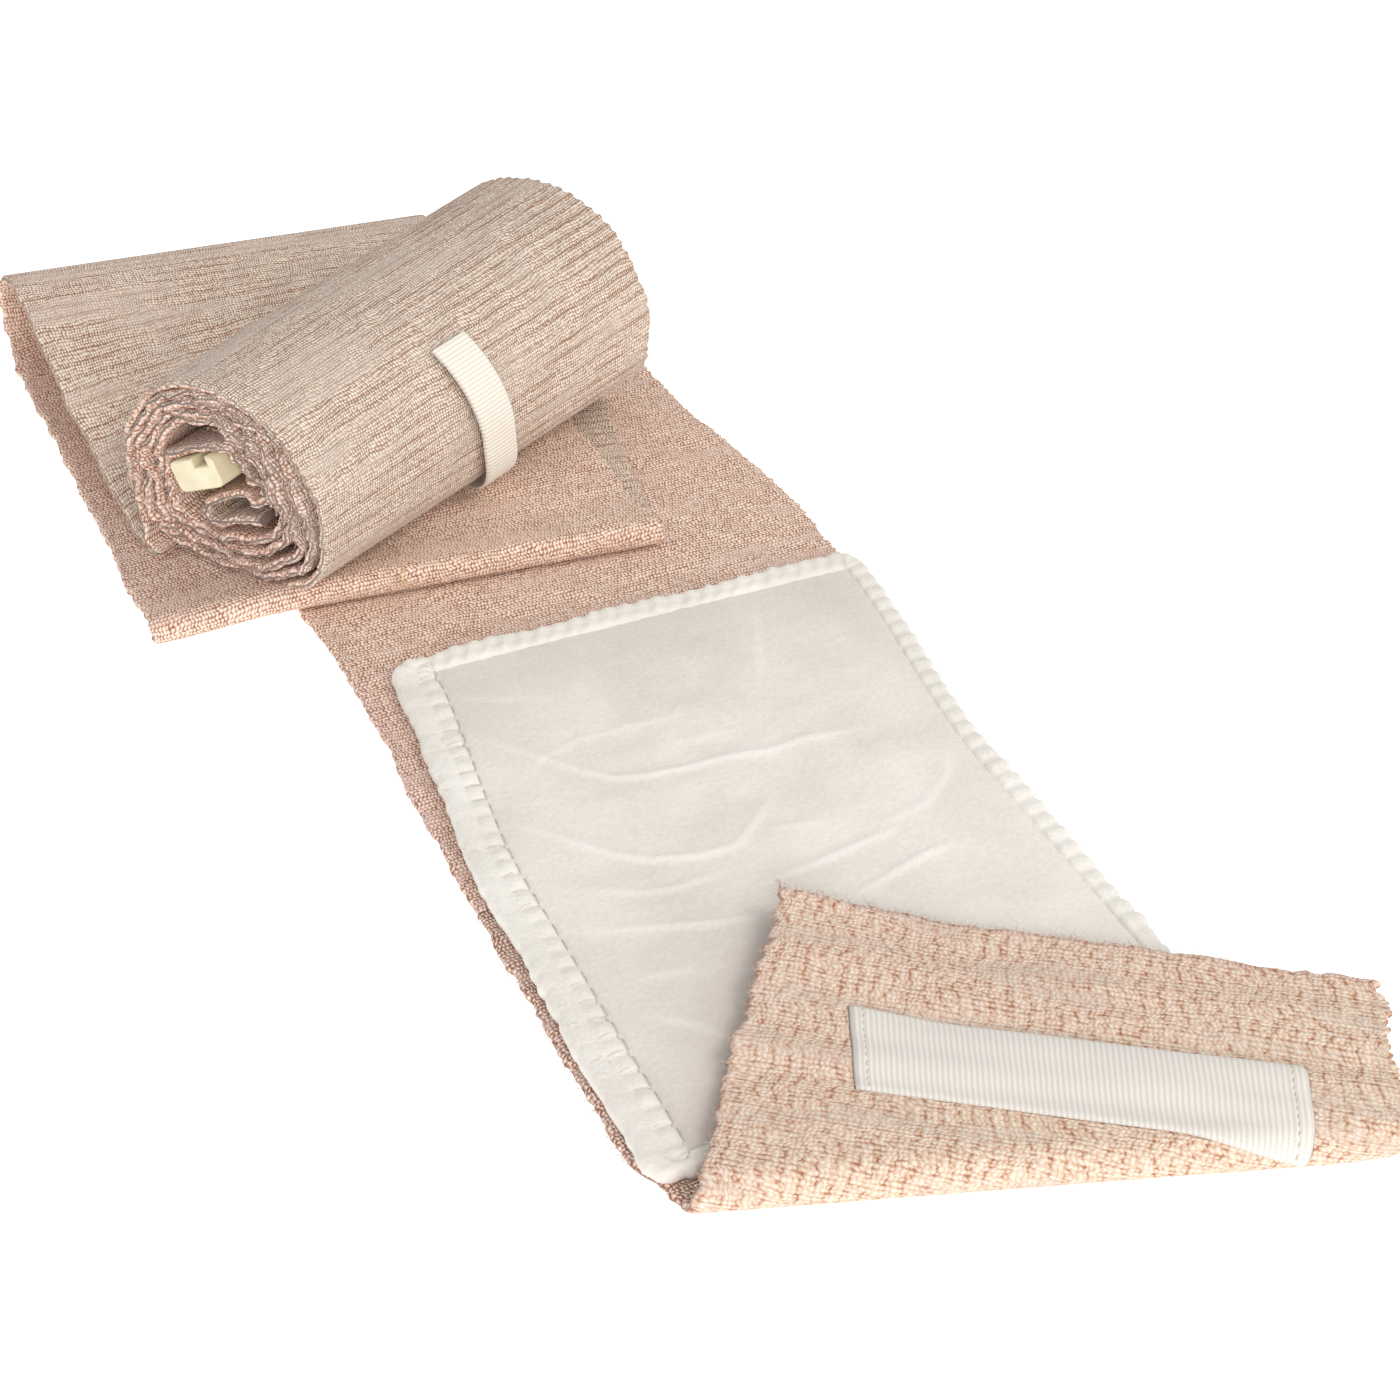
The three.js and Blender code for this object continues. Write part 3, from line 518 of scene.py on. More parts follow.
def column_shares(inside):
    """Places across the band, close together at the rounded selvedges."""
    edge = np.array([0.0, 0.12, 0.4, 0.85, 1.6, 2.8]) / BAND_WIDTH
    middle = np.linspace(edge[-1], 1 - edge[-1], inside)
    return np.concatenate([edge[:-1], middle, 1 - edge[-2::-1]])


def roll_shares(inside):
    """The same for the roll, closer together near the end that is seen."""
    edge = np.array([0.0, 0.12, 0.4, 0.85, 1.6, 2.6, 3.8, 5.2, 7.0]) / BAND_WIDTH
    far_edge = edge[:6]
    middle = np.linspace(edge[-1], 1 - far_edge[-1], inside)
    return np.concatenate([edge[:-1], middle, 1 - far_edge[-2::-1]])


def band_grid(lines, shares):
    """Middle surface of the band: a grid of points, a row for each ruling."""
    left = np.array([line.left for line in lines])[:, None, :]
    right = np.array([line.right for line in lines])[:, None, :]
    points = left + (right - left) * shares[None, :, None]
    for number, line in enumerate(lines):
        if line.curl_from is not None:
            distance = np.hypot(line.curl_from, shares * BAND_WIDTH)
            points[number, :, 2] += FLAP_CURL_RISE * np.maximum(0, 1 - distance / FLAP_CURL_REACH) ** 2
        if line.droops:
            points[number, :, 2] -= droop(points[number, :, 0])
    return points


def cloth_places(lines, shares):
    """Where each grid point lies on the flat cloth: across and along it, in millimetres."""
    travel = np.array([line.travel for line in lines])[:, None]
    lean = np.array([math.tan(line.skew) for line in lines])[:, None]
    across = np.repeat(shares[None, :] * BAND_WIDTH, len(lines), axis=0)
    return across, travel + (shares[None, :] - 0.5) * BAND_WIDTH * lean


def grid_normals(points):
    along = np.empty_like(points)
    along[1:-1] = points[2:] - points[:-2]
    along[0], along[-1] = points[1] - points[0], points[-1] - points[-2]
    across = np.empty_like(points)
    across[:, 1:-1] = points[:, 2:] - points[:, :-2]
    across[:, 0], across[:, -1] = points[:, 1] - points[:, 0], points[:, -1] - points[:, -2]
    return unit(np.cross(across, along))


def add_object(name, points, faces, smooth_faces=True):
    mesh = bpy.data.meshes.new(name)
    mesh.from_pydata((np.asarray(points) * MM).tolist(), [], faces)
    mesh.validate()
    mesh.polygons.foreach_set("use_smooth", [smooth_faces] * len(mesh.polygons))
    mesh.update()
    made = bpy.data.objects.new(name, mesh)
    bpy.context.scene.collection.objects.link(made)
    return made


def note_cloth(made, places):
    """Keeps each point's place on the flat cloth, and which face of it, for the material."""
    layer = made.data.attributes.new("cloth", "FLOAT_VECTOR", "POINT")
    layer.data.foreach_set("vector", np.asarray(places, dtype=np.float32).ravel())


def note_share(made, name, shares):
    """Keeps a value from 0 to 1 at each point, for the material."""
    layer = made.data.attributes.new(name, "FLOAT", "POINT")
    layer.data.foreach_set("value", np.asarray(shares, dtype=np.float32).ravel())


def grid_quads(index, flip):
    """The corners of each quad of a grid of point numbers."""
    corners = [index[:-1, :-1], index[:-1, 1:], index[1:, 1:], index[1:, :-1]]
    if flip:
        corners = corners[:1] + corners[:0:-1]
    return np.stack(corners, axis=-1).reshape(-1, 4).tolist()


def ring_faces(rings, count):
    """The faces of a closed tube through rings of count points each, with its two ends."""
    faces = []
    for start in range(0, (rings - 1) * count, count):
        for j in range(count):
            k = (j + 1) % count
            faces.append([start + j, start + k, start + count + k, start + count + j])
    last = (rings - 1) * count
    return faces + [list(range(count))[::-1], list(range(last, last + count))]


def sheet_mesh(name, top, bottom, across, along, round_start, round_end, painted_shade=None, along_bottom=None):
    """A closed sheet between two grids. The selvedges are shared, and so are rounded ends."""
    rows, columns = top.shape[:2]
    index_top = np.arange(rows * columns).reshape(rows, columns)
    shared = np.zeros((rows, columns), dtype=bool)
    shared[:, 0] = shared[:, -1] = True
    if round_start:
        shared[0] = True
    if round_end:
        shared[-1] = True
    index_bottom = index_top.copy()
    index_bottom[~shared] = rows * columns + np.arange(np.count_nonzero(~shared))
    points = np.concatenate([top.reshape(-1, 3), bottom[~shared]])
    side = np.where(shared, 0.5, 1.0)
    places_top = np.stack([across, along, side], axis=-1).reshape(-1, 3)
    along_low = along if along_bottom is None else along_bottom
    places_bottom = np.stack([across, along_low, np.zeros_like(side)], axis=-1)[~shared]
    quads = grid_quads(index_top, False) + grid_quads(index_bottom, True)
    caps = []
    for row, flip in ((0, False), (rows - 1, True)):
        if shared[row].all():
            continue
        upper, lower = index_top[row], index_bottom[row]
        for j in range(columns - 1):
            ring = [lower[j], lower[j + 1], upper[j + 1], upper[j]]
            ring = list(dict.fromkeys(int(i) for i in ring))
            caps.append(ring[::-1] if flip else ring)
    made = add_object(name, points, quads + caps)
    places = np.concatenate([places_top, places_bottom])
    note_cloth(made, places)
    # Each point's share of painted shade, for the material
    if painted_shade is not None:
        note_share(made, "painted_shade", painted_shade(points, places[:, 0], places[:, 1]))
    for number in range(len(quads), len(quads) + len(caps)):
        made.data.polygons[number].use_smooth = False
    return made


def measure_travel(lines, start):
    """Travel of each ruling on from the start ruling, by its mean length of run."""
    previous = start
    for line in lines:
        run = np.linalg.norm(line.left - previous.left) + np.linalg.norm(line.right - previous.right)
        line.travel = previous.travel + run / 2
        previous = line


OUTER_STEPS = 300
INNER_STEPS = 130
LOOP_STEPS = 12
near_lines = near_rulings(step=0.9, fold_steps=18)
far_lines, front_fold = far_rulings(step=1.0, layer_step=1.6)
pad_middle = Ruling(
    (selvedge("left", 0), 0, BAND_WALL / 2),
    (selvedge("right", 0), 0, BAND_WALL / 2),
    0,
)
roll = RollFrame(front_fold)
spiral = spiral_rulings(roll, OUTER_STEPS, INNER_STEPS)
tail_bend, tail_flat = tail_rulings(roll)
tail_folds = tail_fold_rulings(roll, tail_flat[-1])
loop = loop_rulings(front_fold, roll, far_lines[-1], spiral[0], LOOP_STEPS)
measure_travel(loop + spiral + tail_bend + tail_flat + tail_folds, far_lines[-1])
HEEL = LOOP_STEPS * (len(LOOP_SECTIONS) + 2) - 1
ROLL_TRAVEL = spiral[0].travel
OUTER_TURN_END = spiral[OUTER_STEPS].travel
FLAP_EDGE = near_lines[0].travel
PLEAT_TRAVEL = PAD_LENGTH / 2 + PAD_TO_BACK_FOLD + PLEAT_LENGTH


def from_selvedge(across):
    return np.minimum(across, BAND_WIDTH - across)


def knobby_selvedge(points, across, along, amount, seed):
    """Moves the selvedges in and out sideways, as the knit's turning loops do."""
    outward = unit(points[:, -1:] - points[:, :1])
    travel = along[:, :1]
    fade = smooth(1 - from_selvedge(across) / 3.5)[..., None]
    for sign, start, regular in ((-1, seed, 0.12), (1, seed + 7, 0.3)):
        knobs = regular * np.sin(2 * math.pi * travel / 2.45 + 2 * noise_line(travel, 6.0, start))
        knobs += 0.34 * noise_line(travel, 1.3, start + 1) + 0.45 * noise_line(travel, 7.0, start + 2)
        half = (across > BAND_HALF) if sign > 0 else (across <= BAND_HALF)
        points += np.where(half[..., None], outward * (sign * amount * knobs)[..., None] * fade, 0)


def shaped_band(lines, shares, shape):
    """The band's middle surface with its fine shape, and where its points lie on the flat cloth."""
    across, along = cloth_places(lines, shares)
    return shape(band_grid(lines, shares), across, along), across, along


def wall_offset(across, thick):
    """Half the wall, rounded down to nothing at the selvedges."""
    round_over = 1 - np.clip(from_selvedge(across) / (thick / 2), 0, 1)
    return thick / 2 * np.sqrt(np.clip(1 - round_over ** 2, 0, 1))


def finish_band(name, lines, shares, shape, relief, painted_shade, ends):
    """One piece of the band. Its first and last rulings only steer the normals, unless it ends there."""
    points, across, along = shaped_band(lines, shares, shape)
    normals = grid_normals(points)
    inner = slice(0 if ends[0] else 1, len(lines) if ends[1] else -1)
    top_extra, bottom_extra = relief(across, along)
    half = wall_offset(across, BAND_WALL)
    share = half / (BAND_WALL / 2)
    top = points + normals * (half + top_extra * share)[..., None]
    bottom = points - normals * (half + bottom_extra * share)[..., None]
    along_top = along + face_stretch(top, points)
    along_bottom = along + face_stretch(bottom, points)
    return sheet_mesh(
        name, top[inner], bottom[inner], across[inner], along_top[inner], ends[0], ends[1], painted_shade,
        along_bottom[inner],
    )


def face_stretch(face, middle):
    """How much further each row lies along a bent face than along the band's middle."""
    runs = [np.linalg.norm(np.diff(points, axis=0), axis=2) for points in (face, middle)]
    return np.concatenate([[0.0], np.cumsum((runs[0] - runs[1]).mean(axis=1))])[:, None]


def shape_near(points, across, along):
    on_flap = smooth((-PAD_LENGTH / 2 - PAD_TO_NEAR_FOLD - 6 - along) / 6)
    waves = 0.42 * noise_line(along + 0.05 * across, 5.0, 11)
    waves += 0.35 * noise_field(across, along, 16, 5, 12)
    points = points + grid_normals(points) * (waves * on_flap)[..., None]
    knobby_selvedge(points, across, along, mix(1.0, 2.0, on_flap[:, :1]), 20)
    edge = smooth(1 - (along - FLAP_EDGE) / 3)
    forward = unit(points[:1] - points[4:5])
    ragged = 0.5 * noise_line(across, 2.0, 31) + 0.5 * noise_line(across, 9.0, 32)
    points += forward * (edge * ragged)[..., None]
    return points


def shape_middle(points, across, along):
    on_top = smooth((along - PLEAT_TRAVEL - 16) / 20)
    swell = noise_field(points[..., 0], points[..., 1], 22, 16, 41)
    points[..., 2] += 0.35 * on_top * (1 + swell) * smooth(1 - (along - PLEAT_TRAVEL - 90) / 20)
    knobby_selvedge(points, across, along, 1.0, 50)
    return points


def end_frame(points):
    """Sideways along the roll, and backward and up from its middle as shares of its half sizes."""
    offset = points - roll.corner
    sideways = offset @ roll.axis
    share = np.clip(sideways / ROLL_LENGTH, 0, 1)
    section = roll_section(0)
    backward = (offset @ roll.back - mix(section["middle"], roll_section(1)["middle"], share))
    height = offset[..., 2] - section["waist"] - 1.0
    return sideways, backward / section["half_wide"], height / section["above"]


def on_inner_turns(along):
    return smooth((along - OUTER_TURN_END + 30) / 40)


def shape_roll(points, across, along):
    sideways, backward, height = end_frame(points)
    radius = np.hypot(backward, height)
    within = np.clip(1.05 - radius ** 3, 0, 1)
    from_end = np.minimum(sideways, ROLL_LENGTH - sideways)
    offset = points - roll.corner
    from_bar = np.hypot(offset @ roll.back - BAR_MIDDLE[0], offset[..., 2] - BAR_MIDDLE[1])
    clear_of_bar = smooth((from_bar - BAR_CLEARANCE) / BAR_CLEARANCE)
    depth = np.exp(-np.clip(from_end, 0, None) / CRUMPLE_REACH) * within * clear_of_bar
    crumple_back = noise_field(backward, height, 0.3, 0.3, 61) * CRUMPLE_BACK
    crumple_up = noise_field(backward, height, 0.3, 0.3, 62) * CRUMPLE_UP
    crumple_back += noise_field(backward, height, 0.12, 0.12, 68) * CRUMPLE_FINE
    crumple_up += noise_field(backward, height, 0.12, 0.12, 69) * CRUMPLE_FINE
    spiral_end = tail_bend[0].travel
    core = smooth((along - spiral_end + 75) / 30) * smooth((spiral_end - 6 - along) / 8)
    above_bar = np.exp(-((offset @ roll.back - SAG_MIDDLE) / SAG_REACH) ** 2)
    above_bar = above_bar * smooth((offset[..., 2] - SAG_FLOOR) / 4)
    sag = SAG_DEPTH * core * above_bar * np.exp(-np.clip(from_end, 0, None) / 15)
    sag *= 1 + 0.7 * noise_line(along, 5.0, 71)
    points = points + roll.back * (depth * crumple_back)[..., None]
    points[..., 2] += depth * crumple_up - sag
    on_roll = smooth((along - ROLL_TRAVEL - 4) / 10)
    inner = on_inner_turns(along)
    near_bar = mix(0.35, 1.0, clear_of_bar)
    ripple = 0.3 * noise_line(along, 2.4, 63) * np.exp(-from_end / 9)
    nubs = 0.5 * noise_field(along, across, 1.3, 1.1, 65) * np.exp(-across / 3)
    normal_shift = (ripple + nubs) * inner * near_bar
    points = points + grid_normals(points) * normal_shift[..., None]
    knobby_selvedge(points, across, along, mix(1.0, 1.7, inner[:, :1]), 70)
    folds = smooth((along - tail_flat[-1].travel) / 4)
    shift = (0.35 + 0.65 * inner) * noise_line(along, 6.5, 64) - 0.6 * inner
    shift += 0.4 * inner * noise_line(along, 1.4, 66) + 1.2 * folds * (1 + noise_line(along, 9.0, 67))
    points += roll.axis * (on_roll * shift * np.exp(-across / 8))[..., None]
    return points


def no_relief(across, along):
    return np.zeros_like(across), np.zeros_like(along)


def ribs(across, along, fade):
    """Cross ribs in pairs of courses, strongest towards the right selvedge."""
    uneven = np.clip(0.7 + 0.9 * noise_field(across, along, 26.0, 6.0, 81), 0, 1.4)
    strength = mix(RIB_LEAST, RIB_MOST, smooth(across / BAND_WIDTH)) * uneven
    return fade * strength * np.cos(2 * math.pi * along / RIB_PITCH + 0.8 * noise_line(along, 14.0, 82))


def relief_middle(across, along):
    ramp = smooth((along - PLEAT_TRAVEL - 150) / 30)
    return np.zeros_like(across), ribs(across, along, ramp)


def relief_roll(across, along):
    outer = smooth((OUTER_TURN_END - 12 - along) / 10)
    return np.zeros_like(across), ribs(across, along, outer)


def strip_painted_shade(points, across, along):
    """Painted shade on the flat strip near the pad and at its left selvedge, on the band's left end and at
    the flap's free edge.
    """
    free_edge = 0.8 * smooth(1 - (along - FLAP_EDGE) / 4)
    on_strip = smooth((PLEAT_TRAVEL - PLEAT_LENGTH - along) / 20)
    near_pad = smooth(1 - (np.abs(points[:, 1]) - PAD_LENGTH / 2) / 12)
    at_left = smooth(1 - across / 3)
    left_end = smooth((-30 - points[:, 0]) / 50)
    return np.clip(on_strip * (0.3 * near_pad + 0.3 * at_left) + 0.25 * left_end + free_edge, 0, 1)


def roll_end_painted_shade(points, across, along):
    """Painted shade on the inner turns at the end of the roll."""
    return 0.75 * on_inner_turns(along) * np.exp(-across / 6)


NEAR_SHARES = column_shares(inside=84)
MIDDLE_SHARES = column_shares(inside=60)
ROLL_SHARES = roll_shares(inside=34)
FLAP_ROWS = 52
near_end = finish_band(
    "band_near_end", near_lines + [pad_middle, far_lines[0]], NEAR_SHARES,
    shape_near, no_relief, strip_painted_shade, (True, False),
)
middle_lines = [near_lines[-1], pad_middle] + far_lines + loop[:HEEL + 2]
middle_run = finish_band(
    "band_middle", middle_lines, MIDDLE_SHARES, shape_middle, relief_middle, strip_painted_shade, (False, False),
)
roll_lines = loop[HEEL - 1:] + spiral + tail_bend + tail_flat + tail_folds
rolled = finish_band(
    "band_roll", roll_lines, ROLL_SHARES, shape_roll, relief_roll, roll_end_painted_shade, (False, True),
)

# Materials


def tone(red, green, blue):
    """A colour given as 0 to 255, as linear light."""
    linear = [((c / 255 + 0.055) / 1.055) ** 2.4 if c > 10 else c / 3294.6 for c in (red, green, blue)]
    return (*linear, 1.0)


class Shade:
    """A material's nodes, built as arithmetic on sockets and numbers."""

    def __init__(self, name, roughness, sheen=0.0, sheen_roughness=0.5, specular=0.3):
        self.material = bpy.data.materials.new(name)
        self.material.use_nodes = True
        self.tree = self.material.node_tree
        self.shader = self.tree.nodes["Principled BSDF"]
        self.shader.inputs["Roughness"].default_value = roughness
        self.shader.inputs["Specular IOR Level"].default_value = specular
        self.shader.inputs["Sheen Weight"].default_value = sheen
        self.shader.inputs["Sheen Roughness"].default_value = sheen_roughness

    def node(self, kind, **settings):
        made = self.tree.nodes.new(kind)
        for key, value in settings.items():
            setattr(made, key, value)
        return made

    def feed(self, socket, value):
        if isinstance(value, bpy.types.NodeSocket):
            self.tree.links.new(value, socket)
        else:
            socket.default_value = value

    def math(self, operation, *values):
        made = self.node("ShaderNodeMath", operation=operation)
        for socket, value in zip(made.inputs, values):
            self.feed(socket, value)
        return made.outputs[0]

    def add(self, a, b):
        return self.math("ADD", a, b)

    def minus(self, a, b):
        return self.math("SUBTRACT", a, b)

    def times(self, a, b):
        return self.math("MULTIPLY", a, b)

    def over(self, a, b):
        return self.math("DIVIDE", a, b)

    def wave(self, turns):
        """A smooth wave from 0 to 1 and back over one turn."""
        return self.times(self.add(self.math("SINE", self.times(turns, 2 * math.pi)), 1.0), 0.5)

    def hump(self, turns):
        """A round hump from 0 to 1 and back to 0 in each turn."""
        return self.math("SINE", self.times(self.math("FRACT", turns), math.pi))

    def noted(self, name):
        return self.node("ShaderNodeAttribute", attribute_name=name).outputs["Fac"]

    def solid(self):
        return self.node("ShaderNodeTexCoord").outputs["Object"]

    def cloth(self):
        place = self.node("ShaderNodeAttribute", attribute_name="cloth")
        parts = self.node("ShaderNodeSeparateXYZ")
        self.tree.links.new(place.outputs["Vector"], parts.inputs[0])
        return parts.outputs[0], parts.outputs[1], parts.outputs[2]

    def place(self, x, y, z=0.0):
        made = self.node("ShaderNodeCombineXYZ")
        for socket, value in zip(made.inputs, (x, y, z)):
            self.feed(socket, value)
        return made.outputs[0]

    def noise(self, place, scale, detail=2.0):
        made = self.node("ShaderNodeTexNoise")
        self.feed(made.inputs["Vector"], place)
        made.inputs["Scale"].default_value = scale
        made.inputs["Detail"].default_value = detail
        return made.outputs["Fac"]

    def cells(self, place, jitter):
        """Distance from the nearest cell's middle, and a chance value for that cell."""
        made = self.node("ShaderNodeTexVoronoi", voronoi_dimensions="2D")
        self.feed(made.inputs["Vector"], place)
        made.inputs["Scale"].default_value = 1.0
        made.inputs["Randomness"].default_value = jitter
        parts = self.node("ShaderNodeSeparateColor")
        self.tree.links.new(made.outputs["Color"], parts.inputs[0])
        return made.outputs["Distance"], parts.outputs[0]

    def ramp(self, value, stops):
        made = self.node("ShaderNodeValToRGB")
        ramp = made.color_ramp
        while len(ramp.elements) < len(stops):
            ramp.elements.new(0.5)
        for element, (position, colour) in zip(ramp.elements, stops):
            element.position = position
            element.color = colour
        self.feed(made.inputs[0], value)
        return made.outputs[0]

    def blend(self, share, low, high, kind="MIX"):
        made = self.node("ShaderNodeMix", data_type="RGBA", blend_type=kind)
        for number, value in ((0, share), (6, low), (7, high)):
            self.feed(made.inputs[number], value)
        return made.outputs[2]

    def with_painted_shade(self, colour, tint):
        """The colour, darkened by a tint as far as the piece's painted shade says."""
        return self.blend(self.noted("painted_shade"), colour, self.blend(1.0, colour, tint, "MULTIPLY"))

    def level(self, value, low, high):
        """Stretches low to 0 and high to 1, with soft ends."""
        made = self.node("ShaderNodeMapRange", interpolation_type="SMOOTHSTEP")
        self.feed(made.inputs["Value"], value)
        made.inputs["From Min"].default_value = low
        made.inputs["From Max"].default_value = high
        return made.outputs[0]

    def finish(self, colour, height, depth, strength=1.0):
        """Colour, and a relief in millimetres."""
        bump = self.node("ShaderNodeBump")
        bump.inputs["Strength"].default_value = strength
        bump.inputs["Distance"].default_value = depth * MM
        self.feed(bump.inputs["Height"], height)
        self.tree.links.new(bump.outputs[0], self.shader.inputs["Normal"])
        self.feed(self.shader.inputs["Base Color"], colour)
        return self.material


def stitches(shade, u, v, wide, tall, sway, jitter):
    """Small stitches in rows across the band: their height from 0 to 1, and a chance value for each."""
    row = shade.over(v, tall)
    lean = shade.times(shade.math("PINGPONG", row, 1.0), sway)
    column = shade.add(shade.over(u, wide), lean)
    distance, chance = shade.cells(shade.place(column, row), jitter)
    return shade.level(distance, 0.66, 0.1), chance


def wales(shade, u, v, wobble):
    """The outer face's pale wales, which sway along the band, with rungs in the valleys between them."""
    bend = shade.noise(shade.place(shade.times(u, 0.06), shade.times(v, 0.2), 5.0), 1.0, 1.0)
    sway = shade.times(shade.minus(bend, 0.5), 2.4)
    column = shade.add(shade.over(u, 2.7), shade.add(sway, shade.times(wobble, 0.3)))
    wale = shade.math("POWER", shade.hump(column), 0.7)
    rung = shade.hump(shade.over(v, 1.05))
    return shade.add(shade.times(wale, 0.62), shade.times(rung, 0.38))


# The knit's tones: between the stitches, their sides, their crowns, and the crowns of grey patches. The
# dark between the stitches is partly the yarn's own colour, partly painted shade; the pale crowns partly
# painted highlight.
FLAP_TONES = (tone(172, 114, 80), tone(216, 184, 158), tone(243, 223, 201), tone(210, 196, 182))
ROLL_TONES = (tone(166, 128, 104), tone(221, 199, 179), tone(249, 236, 219), tone(215, 202, 188))
BACK_TONES = (tone(162, 120, 98), tone(230, 205, 183), tone(252, 240, 222), tone(220, 204, 190))
STRIP_TONES = (tone(156, 108, 82), tone(238, 199, 175), tone(255, 239, 220), tone(228, 206, 192))
# The tint of the knit's painted shade
PAINTED_SHADE_TONE = (0.93, 0.87, 0.91, 1.0)
NUB_WIDE, NUB_TALL = 0.92, 0.8
ROLL_STITCH_WIDE, ROLL_STITCH_TALL = 0.62, 0.68
INNER_STITCH_WIDE, INNER_STITCH_TALL = 0.7, 0.82


def knit(name, grooves, outer_tones, inner_tones, relief):
    """The band's cloth. Its inner face is fine and pink. Its outer face has grooves across the band, this
    deep at the left and deeper by so much in each millimetre, or where grooves is None, chunky wales."""
    shade = Shade(name, 0.95, sheen=0.1, sheen_roughness=0.6, specular=0.08)
    u, v, side = shade.cloth()
    drift = shade.noise(shade.place(shade.times(u, 0.11), shade.times(v, 0.16)), 1.0, 1.0)
    wobble = shade.minus(drift, 0.5)
    u_drift = shade.add(u, shade.times(wobble, 3.0))
    v_drift = shade.add(v, shade.times(wobble, 2.4))
    patch = shade.noise(shade.place(shade.times(u, 0.03), shade.times(v, 0.17), 3.0), 1.0, 3.0)
    lines = shade.noise(shade.place(shade.times(u, 0.06), shade.times(v, 0.8), 7.0), 1.0, 2.0)
    fibre = shade.noise(shade.place(u, v, side), 3.4, 3.0)
    grain = shade.times(shade.minus(fibre, 0.5), 0.6)
    calm = shade.level(patch, 0.5, 0.64)
    low_stop = 0.0
    if grooves is None:
        low_stop = 0.12
        nubs, chance = stitches(shade, u_drift, v_drift, NUB_WIDE, NUB_TALL, 0.35, 0.4)
        ladder = wales(shade, u, v, wobble)
        outer = shade.add(shade.times(nubs, 0.48), shade.times(ladder, 0.52))
    else:
        nubs, chance = stitches(shade, u_drift, v_drift, ROLL_STITCH_WIDE, ROLL_STITCH_TALL, 0.25, 0.25)
        # Grooves between the ribs, lower and so darker in colour: painted shade as well as relief
        groove = shade.minus(1.0, shade.hump(shade.over(v, RIB_PITCH)))
        groove = shade.times(shade.math("POWER", groove, 1.5), shade.level(lines, 0.35, 0.6))
        rightward = shade.add(shade.times(u, grooves[1]), grooves[0])
        outer = shade.minus(nubs, shade.times(groove, rightward))
    inner, inner_chance = stitches(shade, u_drift, v_drift, INNER_STITCH_WIDE, INNER_STITCH_TALL, 0.5, 0.22)
    between = shade.minus(1.0, shade.hump(shade.over(v_drift, INNER_STITCH_TALL)))
    valley = shade.times(between, shade.times(shade.level(lines, 0.4, 0.6), 0.2))
    inner = shade.minus(inner, valley)
    faces = []
    for height, luck, tones in ((outer, chance, outer_tones), (inner, inner_chance, inner_tones)):
        dark, middle, pale, grey = tones
        level = shade.add(height, grain)
        tilt = shade.times(shade.minus(luck, 0.5), 0.35)
        # The colour follows the height: the yarn's tones, with painted shade in the low places and grooves
        # and painted highlight on the crowns
        colour = shade.ramp(shade.add(level, tilt), [(low_stop, dark), (0.42, middle), (0.95, pale)])
        cool = shade.ramp(shade.add(level, tilt), [(0.05, middle), (0.85, grey)])
        colour = shade.blend(shade.times(calm, 0.45), colour, cool)
        faces.append((level, colour))
    pick = shade.level(side, 0.35, 0.65)
    colour = shade.blend(pick, faces[0][1], faces[1][1])
    # Painted shade, as far as each point's share says
    colour = shade.with_painted_shade(colour, PAINTED_SHADE_TONE)
    outer_height = shade.times(faces[0][0], shade.minus(1.0, pick))
    height = shade.add(outer_height, shade.times(faces[1][0], pick))
    return shade.finish(colour, height, relief)


def pad_x(x, y):
    """The pad's far end is bent a little to the right, as the band is."""
    return x + PAD_SHIFT + PAD_BEND * smooth(y / (PAD_LENGTH / 2))


PAD_BASE = BAND_WALL + LAYER_GAP
INSIDE_LEFT = -PAD_WIDTH / 2 + HEM_WIDE_AT_LEFT
INSIDE_RIGHT = PAD_WIDTH / 2 - HEM_WIDE
INSIDE_END = PAD_LENGTH / 2 - HEM_WIDE

# Long soft creases in the pad's face, as points on them in the photograph's pixels, and how deep each is.
PHOTO_PIXELS = 1400
PAD_CREASES = [
    {"pixels": [(462, 734), (503, 743), (548, 758), (581, 769), (615, 776), (648, 774), (693, 765),
                (730, 756), (767, 751), (804, 738), (841, 730), (878, 725)], "depth": 1.0},
    {"pixels": [(514, 784), (544, 754), (581, 736), (626, 726), (670, 717), (690, 700)], "depth": 0.5},
    {"pixels": [(447, 695), (500, 697), (551, 695)], "depth": 0.5},
    {"pixels": [(496, 819), (540, 829), (577, 842), (615, 853), (652, 858), (700, 855), (737, 845),
                (752, 826), (774, 791)], "depth": 1.0},
    {"pixels": [(570, 888), (615, 890), (648, 890), (678, 886), (700, 877), (737, 866)], "depth": 0.7},
    {"pixels": [(560, 927), (610, 928), (648, 926), (700, 923), (748, 918), (774, 910)], "depth": 0.8},
    {"pixels": [(752, 888), (804, 866), (849, 847), (901, 825)], "depth": 1.0},
    {"pixels": [(852, 899), (886, 877), (923, 855), (960, 840)], "depth": 0.9},
    {"pixels": [(767, 829), (800, 824), (834, 821)], "depth": 0.5},
    {"pixels": [(670, 741), (700, 735), (730, 728)], "depth": 0.4},
    {"pixels": [(878, 825), (927, 799), (945, 773), (949, 739)], "depth": 0.6},
    {"pixels": [(754, 600), (758, 640), (757, 690)], "depth": 0.4},
    {"pixels": [(633, 975), (665, 973), (700, 966)], "depth": 0.5},
    {"pixels": [(640, 1012), (685, 1020), (726, 1034)], "depth": 0.5},
]


# The photograph's pixels at both ends of the folded flap's edge on the pad, and that edge's height
FLAP_SHADE_PIXELS = ((795, 890), (690, 1185))
FLAP_SHADE_HEIGHT = 6.0


